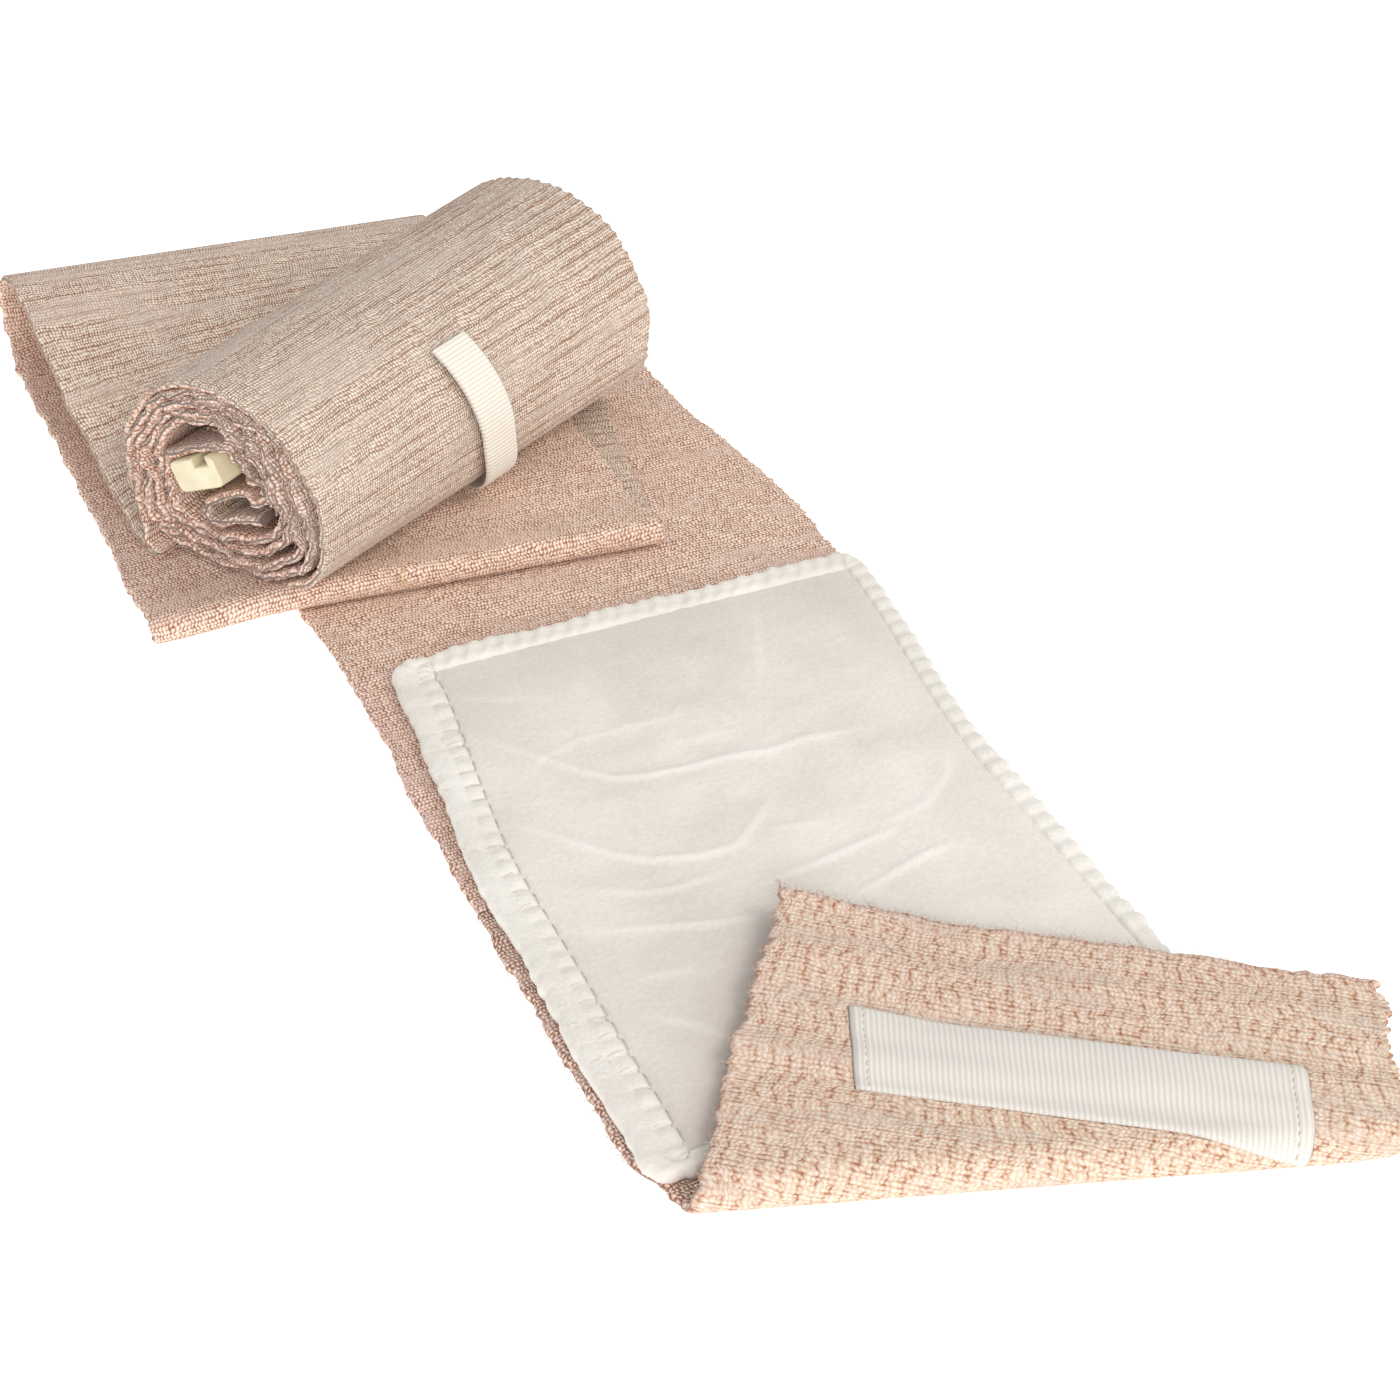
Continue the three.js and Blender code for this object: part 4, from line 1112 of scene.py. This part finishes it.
def photo_to_level(pixel, height):
    """The place at this height that the photograph shows at this pixel."""
    focal = CAMERA_LENS / CAMERA_SENSOR * PHOTO_PIXELS
    half = PHOTO_PIXELS / 2
    ray = camera.rotation_euler.to_matrix() @ Vector((pixel[0] - half, half - pixel[1], -focal))
    reach = (height - CAMERA_AT[2]) / ray[2]
    return vec(CAMERA_AT[0] + reach * ray[0], CAMERA_AT[1] + reach * ray[1])


def crease_relief(x, y):
    """A thin ridge along each crease, and the shallow dip on both sides of it."""
    ridges, dips = np.zeros_like(x), np.zeros_like(x)
    for crease in PAD_CREASES:
        spots = [photo_to_level(pixel, PAD_BASE + PAD_EDGE + PAD_CROWN) for pixel in crease["pixels"]]
        lengths = [0.0]
        for start, end in zip(spots, spots[1:]):
            lengths.append(lengths[-1] + np.linalg.norm(end - start))
        nearest = np.full_like(x, 1e9)
        place = np.zeros_like(x)
        for number, (start, end) in enumerate(zip(spots, spots[1:])):
            run = end - start
            share = np.clip(((x - start[0]) * run[0] + (y - start[1]) * run[1]) / (run @ run), 0, 1)
            distance = np.hypot(x - start[0] - run[0] * share, y - start[1] - run[1] * share)
            closer = distance < nearest
            nearest = np.where(closer, distance, nearest)
            place = np.where(closer, mix(lengths[number], lengths[number + 1], share), place)
        fade = np.sin(math.pi * place / lengths[-1]) ** 0.6
        ridges += crease["depth"] * fade * np.exp(-(nearest / CREASE_RIDGE_WIDE) ** 2)
        dips += crease["depth"] * fade * np.exp(-(nearest / CREASE_DIP_WIDE) ** 2)
    return ridges, dips


def make_pad():
    across = np.linspace(INSIDE_LEFT - PAD_UNDER_HEM, INSIDE_RIGHT + PAD_UNDER_HEM, PAD_COLUMNS)
    along = np.linspace(-INSIDE_END - PAD_UNDER_HEM, INSIDE_END + PAD_UNDER_HEM, PAD_ROWS)
    x, y = np.meshgrid(across, along)
    half = (INSIDE_RIGHT - INSIDE_LEFT) / 2
    side = (x - (INSIDE_LEFT + INSIDE_RIGHT) / 2) / half
    crown = np.clip((1 - side ** 4) * (1 - (y / INSIDE_END) ** 4), 0, 1)
    swell = 0.3 * noise_field(x + 0.4 * y, y, 20, 9, 101) + 0.14 * noise_field(x, y, 6, 4, 102)
    height = PAD_EDGE - 0.5 + (PAD_CROWN + 0.5) * crown ** 0.5
    ridges, dips = crease_relief(pad_x(x, y), y)
    height += (swell + CREASE_DEPTH * (0.7 * ridges - 0.4 * dips)) * crown
    top = np.stack([pad_x(x, y), y, PAD_BASE + height], axis=-1)
    bottom = np.stack([pad_x(x, y), y, np.full_like(x, PAD_BASE)], axis=-1)
    made = sheet_mesh("pad_face", top, bottom, x, y, False, False, pad_painted_shade)
    points = np.empty(len(made.data.vertices) * 3)
    made.data.vertices.foreach_get("co", points)
    points = points.reshape(-1, 3) / MM
    # Painted highlight along the crease ridges, as a paler colour in the material
    note_share(made, "ridge_highlight", crease_relief(points[:, 0], points[:, 1])[0])
    return made


def pad_painted_shade(points, across, along):
    """Painted shade on the fleece: the folded flap's shadow beside and below it, and a little behind the
    far hem.
    """
    start, end = [photo_to_level(pixel, FLAP_SHADE_HEIGHT) for pixel in FLAP_SHADE_PIXELS]
    run = end - start
    share = ((points[:, 0] - start[0]) * run[0] + (points[:, 1] - start[1]) * run[1]) / (run @ run)
    away = ((points[:, 0] - start[0]) * run[1] - (points[:, 1] - start[1]) * run[0]) / np.linalg.norm(run)
    beside = 0.85 * np.exp(-np.clip(away, 0, None) / 12) * smooth((share + 0.05) / 0.25)
    lower = 0.75 * smooth((share - 0.2) / 0.8) * smooth(1 - np.abs(away) / 45)
    far = 0.32 * smooth((along - 30) / 30)
    return np.clip(np.maximum(np.maximum(beside, lower), far), 0, 1)


def ring_path(left, right, end, corner, step):
    """A rectangle with rounded corners as a closed path of points about a step apart."""
    corners = [
        (right - corner, end - corner, 0), (left + corner, end - corner, 90),
        (left + corner, corner - end, 180), (right - corner, corner - end, 270),
    ]
    path = []
    for number, (x, y, turn) in enumerate(corners):
        for share in np.linspace(0, 1, 9):
            angle = math.radians(turn + 90 * share)
            path.append((x + corner * math.cos(angle), y + corner * math.sin(angle)))
        next_x, next_y, _ = corners[(number + 1) % 4]
        angle = math.radians(turn + 90)
        ox, oy = corner * math.cos(angle), corner * math.sin(angle)
        count = int(math.hypot(next_x - x, next_y - y) / step)
        for share in np.arange(1, count) / count:
            path.append((mix(x, next_x, share) + ox, mix(y, next_y, share) + oy))
    return np.array(path)


HEM_PROFILE = [
    (0.0, 0.0), (-0.03, 0.3), (-0.02, 0.55), (0.02, 0.78), (0.08, 0.92), (0.15, 0.98), (0.24, 1.0),
    (0.33, 1.0), (0.41, 0.99), (0.48, 0.97), (0.53, 0.96), (0.58, 0.96), (0.66, 0.96), (0.75, 0.96),
    (0.84, 0.93), (0.91, 0.86), (0.97, 0.72), (1.0, 0.5), (1.0, 0.0),
]


def make_hem():
    outer = ring_path(-PAD_WIDTH / 2, PAD_WIDTH / 2, PAD_LENGTH / 2, PAD_CORNER, 0.6)
    count = len(outer)
    inner = np.stack([
        np.clip(outer[:, 0], INSIDE_LEFT, INSIDE_RIGHT),
        np.clip(outer[:, 1], -INSIDE_END, INSIDE_END - HEM_FAR_LAP),
    ], axis=-1)
    travel = np.cumsum(np.linalg.norm(np.diff(outer, axis=0, prepend=outer[-1:]), axis=1))
    ease = np.sin(math.pi * np.arange(count) / count) ** 0.2
    right_side = smooth((outer[:, 0] - INSIDE_RIGHT) / 2)
    left_side = smooth((INSIDE_LEFT - outer[:, 0]) / 4)
    far_side = smooth((outer[:, 1] - INSIDE_END) / 3)
    puffs = np.abs(np.sin(math.pi * travel / HEM_RIGHT_PUFF))
    squares = np.abs(np.sin(math.pi * (travel + 0.5 * noise_line(travel, 9.0, 114)) / HEM_PUFF)) ** 0.5
    bow = left_side * (0.9 + HEM_LEFT_BOW * smooth(1 - np.abs(outer[:, 1] - 12) / 55))
    points, places = [], []
    for inward, height in HEM_PROFILE:
        spot = outer + (inner - outer) * inward
        out = unit(outer - inner)
        edge = (1 - inward) * ease
        wobble = 0.3 * noise_line(travel, 1.9, 111) + 0.4 * noise_line(travel, 9.0, 112)
        wobble += 0.35 * far_side * noise_line(travel, 1.1, 115) - bow
        spot = spot + out * (edge * (wobble + 0.5 * right_side * (puffs - 0.6)))[:, None]
        tall = HEM_TALL * height * (1 + 0.1 * ease * noise_line(travel, 5.0, 113))
        tall = tall - height * right_side * 0.5 * (1 - puffs)
        inner_strip = smooth((inward - 0.5) / 0.12) * smooth((1.02 - inward) / 0.1)
        tall = tall - height * left_side * (1 - squares) * (0.12 + 0.6 * inner_strip)
        tall = tall - 0.3 * left_side * math.exp(-((inward - 0.53) / 0.07) ** 2)
        tall = tall + 0.25 * height * far_side * noise_line(travel + 3 * inward, 1.7, 116)
        slanted = np.sin(2 * math.pi * (travel - HEM_FAR_SLANT * inward) / HEM_FAR_STITCH)
        tall = tall + height * far_side * (0.35 + 0.2 * slanted)
        points.append(np.stack([pad_x(spot[:, 0], spot[:, 1]), spot[:, 1], PAD_BASE + tall], axis=-1))
        places.append(np.stack([travel, np.full(count, inward * 10.0), np.ones(count)], axis=-1))
    points = np.stack(points, axis=1)
    profile = len(HEM_PROFILE)
    i, j = np.meshgrid(np.arange(count), np.arange(profile), indexing="ij")
    after, up = (i + 1) % count, (j + 1) % profile
    faces = np.stack([
        i * profile + j, after * profile + j, after * profile + up, i * profile + up,
    ], axis=-1).reshape(-1, 4)
    made = add_object("pad_hem_cloth", points.reshape(-1, 3), faces.tolist())
    note_cloth(made, np.stack(places, axis=1).reshape(-1, 3))
    spots = points.reshape(-1, 3)
    # The hem takes some of the pad's painted shade
    note_share(made, "painted_shade", 0.35 * pad_painted_shade(spots, spots[:, 0], spots[:, 1]))
    return made


def tube(path, radius, sides=6):
    """Points and faces of a closed tube along a path."""
    path = np.asarray(path, dtype=float)
    along = unit(np.gradient(path, axis=0))
    flat = unit(np.cross(along, UP) + 1e-6)
    over = np.cross(flat, along)
    angles = 2 * math.pi * np.arange(sides) / sides
    size = np.full(len(path), radius)
    size[0] = size[-1] = radius * 0.4
    ring = flat[:, None] * np.cos(angles)[None, :, None] + over[:, None] * np.sin(angles)[None, :, None]
    points = (path[:, None] + ring * size[:, None, None]).reshape(-1, 3)
    return points, ring_faces(len(path), sides)


def add_tubes(name, paths, radius, sides=6):
    points, faces, start = [], [], 0
    for path in paths:
        more, rings = tube(path, radius, sides)
        points.append(more)
        faces += [[index + start for index in face] for face in rings]
        start += len(more)
    return add_object(name, np.concatenate(points), faces)


def arc(start, end, rise, count=7):
    """A thread from start to end that bows up by rise."""
    share = np.linspace(0, 1, count)[:, None]
    line = vec(*start) + (vec(*end) - vec(*start)) * share
    line[:, 2] += rise * np.sin(math.pi * share[:, 0])
    return line


def left_hem_stitches():
    """The running line inside the wide left hem, the line along its middle and the cross threads."""
    random = np.random.default_rng(121)
    running, cross = [], []
    inner, middle = INSIDE_LEFT - 0.3, INSIDE_LEFT - 0.47 * HEM_WIDE_AT_LEFT
    top = PAD_BASE + HEM_TALL
    for y in np.arange(-PAD_LENGTH / 2 + 6, PAD_LENGTH / 2 - 5, HEM_PUFF):
        start, end = [(pad_x(inner + 0.2, spot), spot, top - 0.75) for spot in (y, y + 3)]
        running.append(arc(start, end, 0.25, 7))
        lean = random.uniform(-0.4, 0.9)
        start, end = (pad_x(middle, y), y, top - 0.75), (pad_x(inner, y + lean), y + lean, top - 0.85)
        cross.append(arc(start, end, 0.45, 9))
        far = y + HEM_PUFF + random.uniform(-0.6, 0.2)
        cross.append(arc(start, (pad_x(middle, far), far, top - 0.75), 0.3, 7))
        lean = random.uniform(-1.5, 1.5)
        outer = -PAD_WIDTH / 2 + 1.6
        cross.append(arc(start, (pad_x(outer, y + lean), y + lean, top - 0.35), 0.35, 9))
    return (
        add_tubes("hem_running_line", running, HEM_THREAD_RADIUS, 5),
        add_tubes("hem_cross_threads", cross, HEM_THREAD_RADIUS, 5),
    )


def stray_fibres(name, roots, outward, count, length, seed):
    """Fine loose fibres that stand out from an edge."""
    random = np.random.default_rng(seed)
    paths = []
    for _ in range(count):
        place = random.integers(0, len(roots))
        turn = random.uniform(-1, 1, 3) * FIBRE_SPREAD
        reach = length * random.uniform(0.4, 1.0)
        share = np.linspace(0, 1, 5)[:, None]
        curl = random.uniform(-1, 1, 3) * 0.5 * reach
        way = unit(outward[place] + turn)
        path = roots[place] + way * reach * share + curl * share ** 2 - way * 0.3
        path[:, 2] = np.maximum(path[:, 2], FIBRE_RADIUS)
        paths.append(path)
    return add_tubes(name, paths, FIBRE_RADIUS, 3)


def left_edge_fibres(name, lines, shares, shape, count, seed):
    """Fibres along the left selvedge of a piece of the band."""
    points = shaped_band(lines, shares, shape)[0]
    return stray_fibres(name, points[:, 0], unit(points[:, 0] - points[:, 4]), count, 1.2, seed)


def flap_edge_fibres():
    points = shaped_band(near_lines, NEAR_SHARES, shape_near)[0]
    return stray_fibres("flap_edge_fibres", points[0], unit(points[0] - points[4]), 260, 1.5, 141)


flap_lines, strip_lines = near_lines[:FLAP_ROWS], near_lines[FLAP_ROWS:]
flap_fibres = flap_edge_fibres()
flap_side_fibres = left_edge_fibres("flap_side_fibres", flap_lines, NEAR_SHARES, shape_near, 200, 142)
roll_fibres = left_edge_fibres("roll_end_fibres", spiral, ROLL_SHARES, shape_roll, 900, 143)
strip_fibres = left_edge_fibres("strip_side_fibres", strip_lines, NEAR_SHARES, shape_near, 170, 144)
pad_face = make_pad()
hem = make_hem()
running_line, cross_threads = left_hem_stitches()


def on_band(grid, across, along, u, v):
    """Places on the band's middle surface at cloth places u, v."""
    shares = across[0]
    column = np.clip(np.searchsorted(shares, u) - 1, 0, len(shares) - 2)
    ends = []
    for index in (column, column + 1):
        spots = np.empty((*u.shape, 3))
        for place in np.ndindex(u.shape):
            row = along[:, index[place]]
            for axis in range(3):
                spots[place][axis] = np.interp(v[place], row, grid[:, index[place], axis])
        ends.append(spots)
    part = (u - shares[column]) / (shares[column + 1] - shares[column])
    return ends[0] + (ends[1] - ends[0]) * part[..., None]


def make_lead_tape():
    rows, columns = 26, 90
    grid, across, along = shaped_band(near_lines, np.linspace(0, 1, 60), shape_near)
    normals = grid_normals(grid)
    j, i = np.meshgrid(np.linspace(0, 1, columns), np.linspace(0, 1, rows))
    sideways, inward = LEAD_TAPE_LENGTH * j, LEAD_TAPE_WIDE * i
    turn = math.tan(math.radians(LEAD_TAPE_TURN))
    u = LEAD_TAPE_FROM_SIDE + sideways + LEAD_TAPE_SLANT * i * (1 - j) + inward * turn
    v = FLAP_EDGE + LEAD_TAPE_FROM_EDGE + inward - sideways * turn
    spots = on_band(grid, across, along, u, v)
    # The band is turned over here, so the tape's upper face is the lower one of its sheet.
    outward = -unit(on_band(normals, across, along, u, v))
    lift = BAND_WALL / 2 + LEAD_TAPE_LIFT
    bottom = spots + outward * lift
    edge = np.minimum(np.minimum(i, 1 - i) * LEAD_TAPE_WIDE, np.minimum(j, 1 - j) * LEAD_TAPE_LENGTH)
    thick = LEAD_TAPE_THICK * mix(0.4, 1.0, smooth(edge / 0.8))
    top = spots + outward * (lift + thick)[..., None]
    made = sheet_mesh("lead_tape_cloth", bottom, top, sideways, inward, False, False)
    threads = []
    for end in (0.03, 0.97):
        column = int(round(end * (columns - 1)))
        line = top[:, column] + outward[:, column] * 0.02
        for start in range(1, rows - 2, 2):
            flat = mix(line[start][None], line[start + 1][None], np.linspace(0, 1, 5)[:, None])
            bow = (0.12 * np.sin(np.linspace(0, math.pi, 5)))[:, None]
            threads.append(flat + outward[start, column] * bow)
    return made, add_tubes("lead_tape_stitches", threads, THREAD_RADIUS, 5)


def make_roll_tape():
    rows, columns = 80, 14
    angles = np.linspace(ROLL_TAPE_START, ROLL_TAPE_END, rows)
    half = ROLL_TAPE_WIDE / ROLL_LENGTH / 2
    spots = []
    for number, angle in enumerate(angles):
        slant = ROLL_TAPE_SLANT * (number / (rows - 1) - 0.5)
        shares = ROLL_TAPE_PLACE + slant + np.linspace(-half, half, columns)
        spots.append([spiral_point(roll, angle, share) for share in shares])
    spots = np.array(spots)
    normals = -grid_normals(spots)
    across = np.repeat(np.linspace(0, ROLL_TAPE_WIDE, columns)[None, :], rows, axis=0)
    steps = np.linalg.norm(np.diff(spots[:, columns // 2], axis=0), axis=1)
    along = np.repeat(np.concatenate([[0.0], np.cumsum(steps)])[:, None], columns, axis=1)
    lift = BAND_WALL / 2 + ROLL_TAPE_LIFT
    bottom = spots + normals * lift
    edge = np.minimum(across, ROLL_TAPE_WIDE - across)
    thick = ROLL_TAPE_THICK * mix(0.5, 1.0, smooth(edge / 0.7))
    top = spots + normals * (lift + thick)[..., None]
    return sheet_mesh("roll_tape_cloth", bottom, top, along, across, False, False), along[-1, 0]


def on_piece(piece, pixel):
    """The place on this piece that the photograph shows at this pixel, lifted a little off it."""
    start = vec(*CAMERA_AT)
    floor_place = vec(*photo_to_level(pixel, 0.0), 0.0)
    way = unit(floor_place - start)
    hit, place, _, _ = piece.ray_cast(Vector(start) * MM, Vector(way))
    if not hit:
        return floor_place
    return vec(*place) / MM - way * THREAD_LIFT


# Pixels of the photograph along the loose thread of a bar tack and along the one beside the bar
TACK_PIXELS = [(396, 546), (401, 556), (397, 562), (404, 570), (399, 577), (408, 584), (411, 590)]
LOOSE_THREAD_PIXELS = [(221, 474), (224, 482), (223, 490), (226, 498), (225, 505), (229, 511)]


def smooth_path(spots, steps):
    return [curve_point(spots, step / steps) for step in range(steps + 1)]


def make_threads():
    tack = smooth_path([on_piece(middle_run, pixel) for pixel in TACK_PIXELS], 30)
    loose = smooth_path([on_piece(rolled, pixel) for pixel in LOOSE_THREAD_PIXELS], 30)
    return add_tubes("loose_threads", [tack, loose], THREAD_RADIUS, 6)


loose_threads = make_threads()
lead_tape, lead_stitches = make_lead_tape()
roll_tape, roll_tape_length = make_roll_tape()


def bar_outline():
    """The bar's section: a channel with rounded corners and a groove along its top."""
    across, tall, corner = BAR_WIDE / 2, BAR_TALL / 2, BAR_CORNER
    groove_left, groove_right, depth = BAR_GROOVE
    points = []

    def turn(x, y, start):
        for step in range(6):
            angle = math.radians(start + 90 * step / 5)
            points.append((x + corner * math.cos(angle), y + corner * math.sin(angle)))

    turn(across - corner, -tall + corner, 270)
    turn(across - corner, tall - corner, 0)
    points.extend([(groove_right, tall), (groove_right, tall - depth)])
    points.extend([(groove_left, tall - depth), (groove_left, tall)])
    turn(-across + corner, tall - corner, 90)
    turn(-across + corner, -tall + corner, 180)
    return np.array(points)


def make_bar():
    run_start, run_end = tail_bend[-1], tail_flat[-1]
    seat = (run_start.left + run_end.left) / 2
    axis = unit((run_start.right + run_end.right) / 2 - seat)
    outward = -unit(np.cross(axis, run_end.left - run_start.left))
    forward = np.cross(outward, axis)
    drop = BAND_WALL / 2 + LAYER_GAP + BAR_TALL / 2
    origin = seat - axis * BAR_PROUD - outward * drop
    outline = bar_outline()
    ahead, behind = np.roll(outline, -1, axis=0) - outline, outline - np.roll(outline, 1, axis=0)
    tangent = unit(unit(ahead) + unit(behind))
    inward = np.stack([-tangent[:, 1], tangent[:, 0]], axis=-1)
    rings = []
    for depth, inset in BAR_RINGS:
        flat = outline + inward * inset
        spots = origin + np.outer(flat[:, 0], forward)
        rings.append(spots + np.outer(flat[:, 1], outward) + axis * depth)
    faces = ring_faces(len(rings), len(outline))
    return add_object("closure_bar_moulding", np.concatenate(rings), faces, False)


bar = make_bar()


def cream_plastic(tones):
    shade = Shade("cream_plastic", 0.32, specular=0.5)
    where = shade.solid()
    cloud, scuff = shade.noise(where, 220.0, 3.0), shade.noise(where, 1800.0, 2.0)
    colour = shade.ramp(cloud, [(0.3, tones[0]), (0.7, tones[1])])
    shade.shader.inputs["Subsurface Weight"].default_value = 0.15
    shade.shader.inputs["Subsurface Radius"].default_value = (0.004, 0.003, 0.002)
    shade.shader.inputs["Subsurface Scale"].default_value = 0.5
    return shade.finish(colour, scuff, 0.05, 0.4)


# The tint of the fleece's painted shade
FLEECE_PAINTED_SHADE = (0.70, 0.645, 0.65, 1.0)
# The paler colour of the painted highlight along the crease ridges
FLEECE_RIDGE_HIGHLIGHT = tone(246, 241, 232)


def fleece(name, tones, grain, relief):
    """Soft felted fleece, or the hem's brushed cloth."""
    shade = Shade(name, 0.95, sheen=0.3, sheen_roughness=0.5, specular=0.1)
    where = shade.solid()
    fibre = shade.noise(where, grain, 6.0)
    lint = shade.noise(where, grain / 3, 3.0)
    cloud = shade.noise(where, 60.0, 4.0)
    mixed = shade.add(shade.times(cloud, 0.6), shade.times(fibre, 0.4))
    colour = shade.ramp(mixed, [(0.35, tones[0]), (0.65, tones[1])])
    colour = shade.with_painted_shade(colour, FLEECE_PAINTED_SHADE)
    # Painted highlight along the crease ridges
    colour = shade.blend(shade.times(shade.noted("ridge_highlight"), 0.5), colour, FLEECE_RIDGE_HIGHLIGHT)
    height = shade.add(shade.times(fibre, 0.6), shade.times(lint, 0.4))
    return shade.finish(colour, height, relief, 0.8)


def ribbed_tape(name, tones, pitch, relief):
    shade = Shade(name, 0.7, sheen=0.2, specular=0.25)
    u, v, _ = shade.cloth()
    rib = shade.wave(shade.over(u, pitch))
    pick = shade.wave(shade.over(v, 0.45))
    height = shade.add(shade.times(rib, 0.8), shade.times(pick, 0.2))
    colour = shade.ramp(height, [(0.0, tones[0]), (0.45, tones[1]), (1.0, tones[2])])
    return shade.finish(colour, height, relief)


def thread_cotton(name, tones):
    shade = Shade(name, 0.8, sheen=0.2, specular=0.2)
    twist = shade.noise(shade.solid(), 2500.0, 2.0)
    return shade.finish(shade.ramp(twist, [(0.3, tones[0]), (0.7, tones[1])]), twist, 0.1)


BAR_TONES = (tone(216, 205, 168), tone(231, 222, 190))
PAD_TONES = (tone(221, 212, 199), tone(235, 228, 217))
HEM_TONES = (tone(226, 219, 206), tone(241, 235, 224))
LEAD_TAPE_TONES = (tone(211, 203, 191), tone(222, 215, 204), tone(230, 225, 215))
ROLL_TAPE_TONES = (tone(216, 205, 188), tone(233, 224, 209), tone(242, 235, 222))
WHITE_TONES = (tone(200, 192, 180), tone(226, 220, 210))
FIBRE_TONES = (tone(206, 176, 156), tone(236, 214, 198))
GREY_TONES = (tone(172, 168, 162), tone(204, 200, 194))
YARN_TONES = (tone(204, 172, 128), tone(234, 208, 168))
TAN_TONES = (tone(206, 190, 160), tone(232, 220, 196))

MATERIALS = [
    (knit("knit_flap", None, FLAP_TONES, STRIP_TONES, 0.35), [near_end]),
    (knit("knit_strip", (0.5, 0.0), BACK_TONES, STRIP_TONES, 0.22), [middle_run]),
    (knit("knit_roll", (0.4, 0.0028), ROLL_TONES, STRIP_TONES, 0.25), [rolled]),
    (fleece("pad_fleece", PAD_TONES, 1100.0, 0.35), [pad_face]),
    (fleece("hem_cloth", HEM_TONES, 1400.0, 0.4), [hem]),
    (thread_cotton("white_thread", WHITE_TONES), [cross_threads]),
    (thread_cotton("tan_fibre", FIBRE_TONES), [flap_fibres, flap_side_fibres, roll_fibres, strip_fibres]),
    (thread_cotton("grey_thread", GREY_TONES), [running_line]),
    (ribbed_tape("lead_tape_weave", LEAD_TAPE_TONES, 0.9, 0.1), [lead_tape]),
    (ribbed_tape("roll_tape_weave", ROLL_TAPE_TONES, 0.85, 0.12), [roll_tape]),
    (thread_cotton("yarn_thread", YARN_TONES), [loose_threads]),
    (thread_cotton("tan_thread", TAN_TONES), [lead_stitches]),
    (cream_plastic(BAR_TONES), [bar]),
]
for material, pieces in MATERIALS:
    for piece in pieces:
        piece.data.materials.append(material)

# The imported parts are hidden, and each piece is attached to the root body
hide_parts("elastic_band")
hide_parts("elastic_band")
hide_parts("elastic_band")
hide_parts("dressing_pad")
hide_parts("pad_hem")
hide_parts("lead_tape")
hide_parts("roll_tape")
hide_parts("closure_bar")
SLOTS = [
    (near_end, "band_knit"), (middle_run, "band_knit"), (rolled, "band_knit"),
    (pad_face, "pad_fleece"), (hem, "hem_cloth"), (running_line, "hem_cloth"), (cross_threads, "hem_cloth"),
    (lead_tape, "tape_cloth"), (lead_stitches, "tape_cloth"), (roll_tape, "tape_cloth"),
    (bar, "bar_plastic"), (flap_fibres, "band_knit"), (flap_side_fibres, "band_knit"),
    (roll_fibres, "band_knit"), (strip_fibres, "band_knit"), (loose_threads, "band_knit"),
]
for piece, slot in SLOTS:
    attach(piece, "root")

# Floor and light
FLOOR_REACH = 4.0
FLOOR_TONE = (0.9, 0.9, 0.9, 1)
FLOOR_GLOW = 0.6
SKY_TONE = (0.93, 0.96, 1.0, 1)
SKY_STRENGTH = 0.75
LIGHT_TARGET = (0, 0.05, 0)
floor_mesh = bpy.data.meshes.new("floor")
floor_corners = [(FLOOR_REACH * x, FLOOR_REACH * y, 0) for x, y in ((-1, -1), (1, -1), (1, 1), (-1, 1))]
floor_mesh.from_pydata(floor_corners, [], [(0, 1, 2, 3)])
floor = bpy.data.objects.new("floor", floor_mesh)
bpy.context.scene.collection.objects.link(floor)
floor_shade = Shade("pale_floor", 0.9, specular=0.0)
floor_shade.shader.inputs["Base Color"].default_value = FLOOR_TONE
floor_shade.shader.inputs["Emission Color"].default_value = (1, 1, 1, 1)
floor_shade.shader.inputs["Emission Strength"].default_value = FLOOR_GLOW
floor.data.materials.append(floor_shade.material)

world = bpy.data.worlds.new("studio")
world.use_nodes = True
sky = world.node_tree.nodes["Background"]
sky.inputs[0].default_value = SKY_TONE
sky.inputs[1].default_value = SKY_STRENGTH
bpy.context.scene.world = world
bpy.context.scene.view_settings.view_transform = "Standard"


def softbox(name, place, size, power, colour):
    light = bpy.data.lights.new(name, "AREA")
    light.shape = "DISK"
    light.size = size
    light.energy = power
    light.color = colour
    made = bpy.data.objects.new(name, light)
    made.location = place
    made.rotation_euler = (Vector(LIGHT_TARGET) - Vector(place)).to_track_quat("-Z", "Y").to_euler()
    bpy.context.scene.collection.objects.link(made)


softbox("key_light", place=(0.75, -0.35, 0.95), size=0.5, power=3.9, colour=(1.0, 0.96, 0.9))
softbox("fill_light", place=(-0.25, -1.15, 0.5), size=0.8, power=7.9, colour=(0.98, 0.97, 1.0))
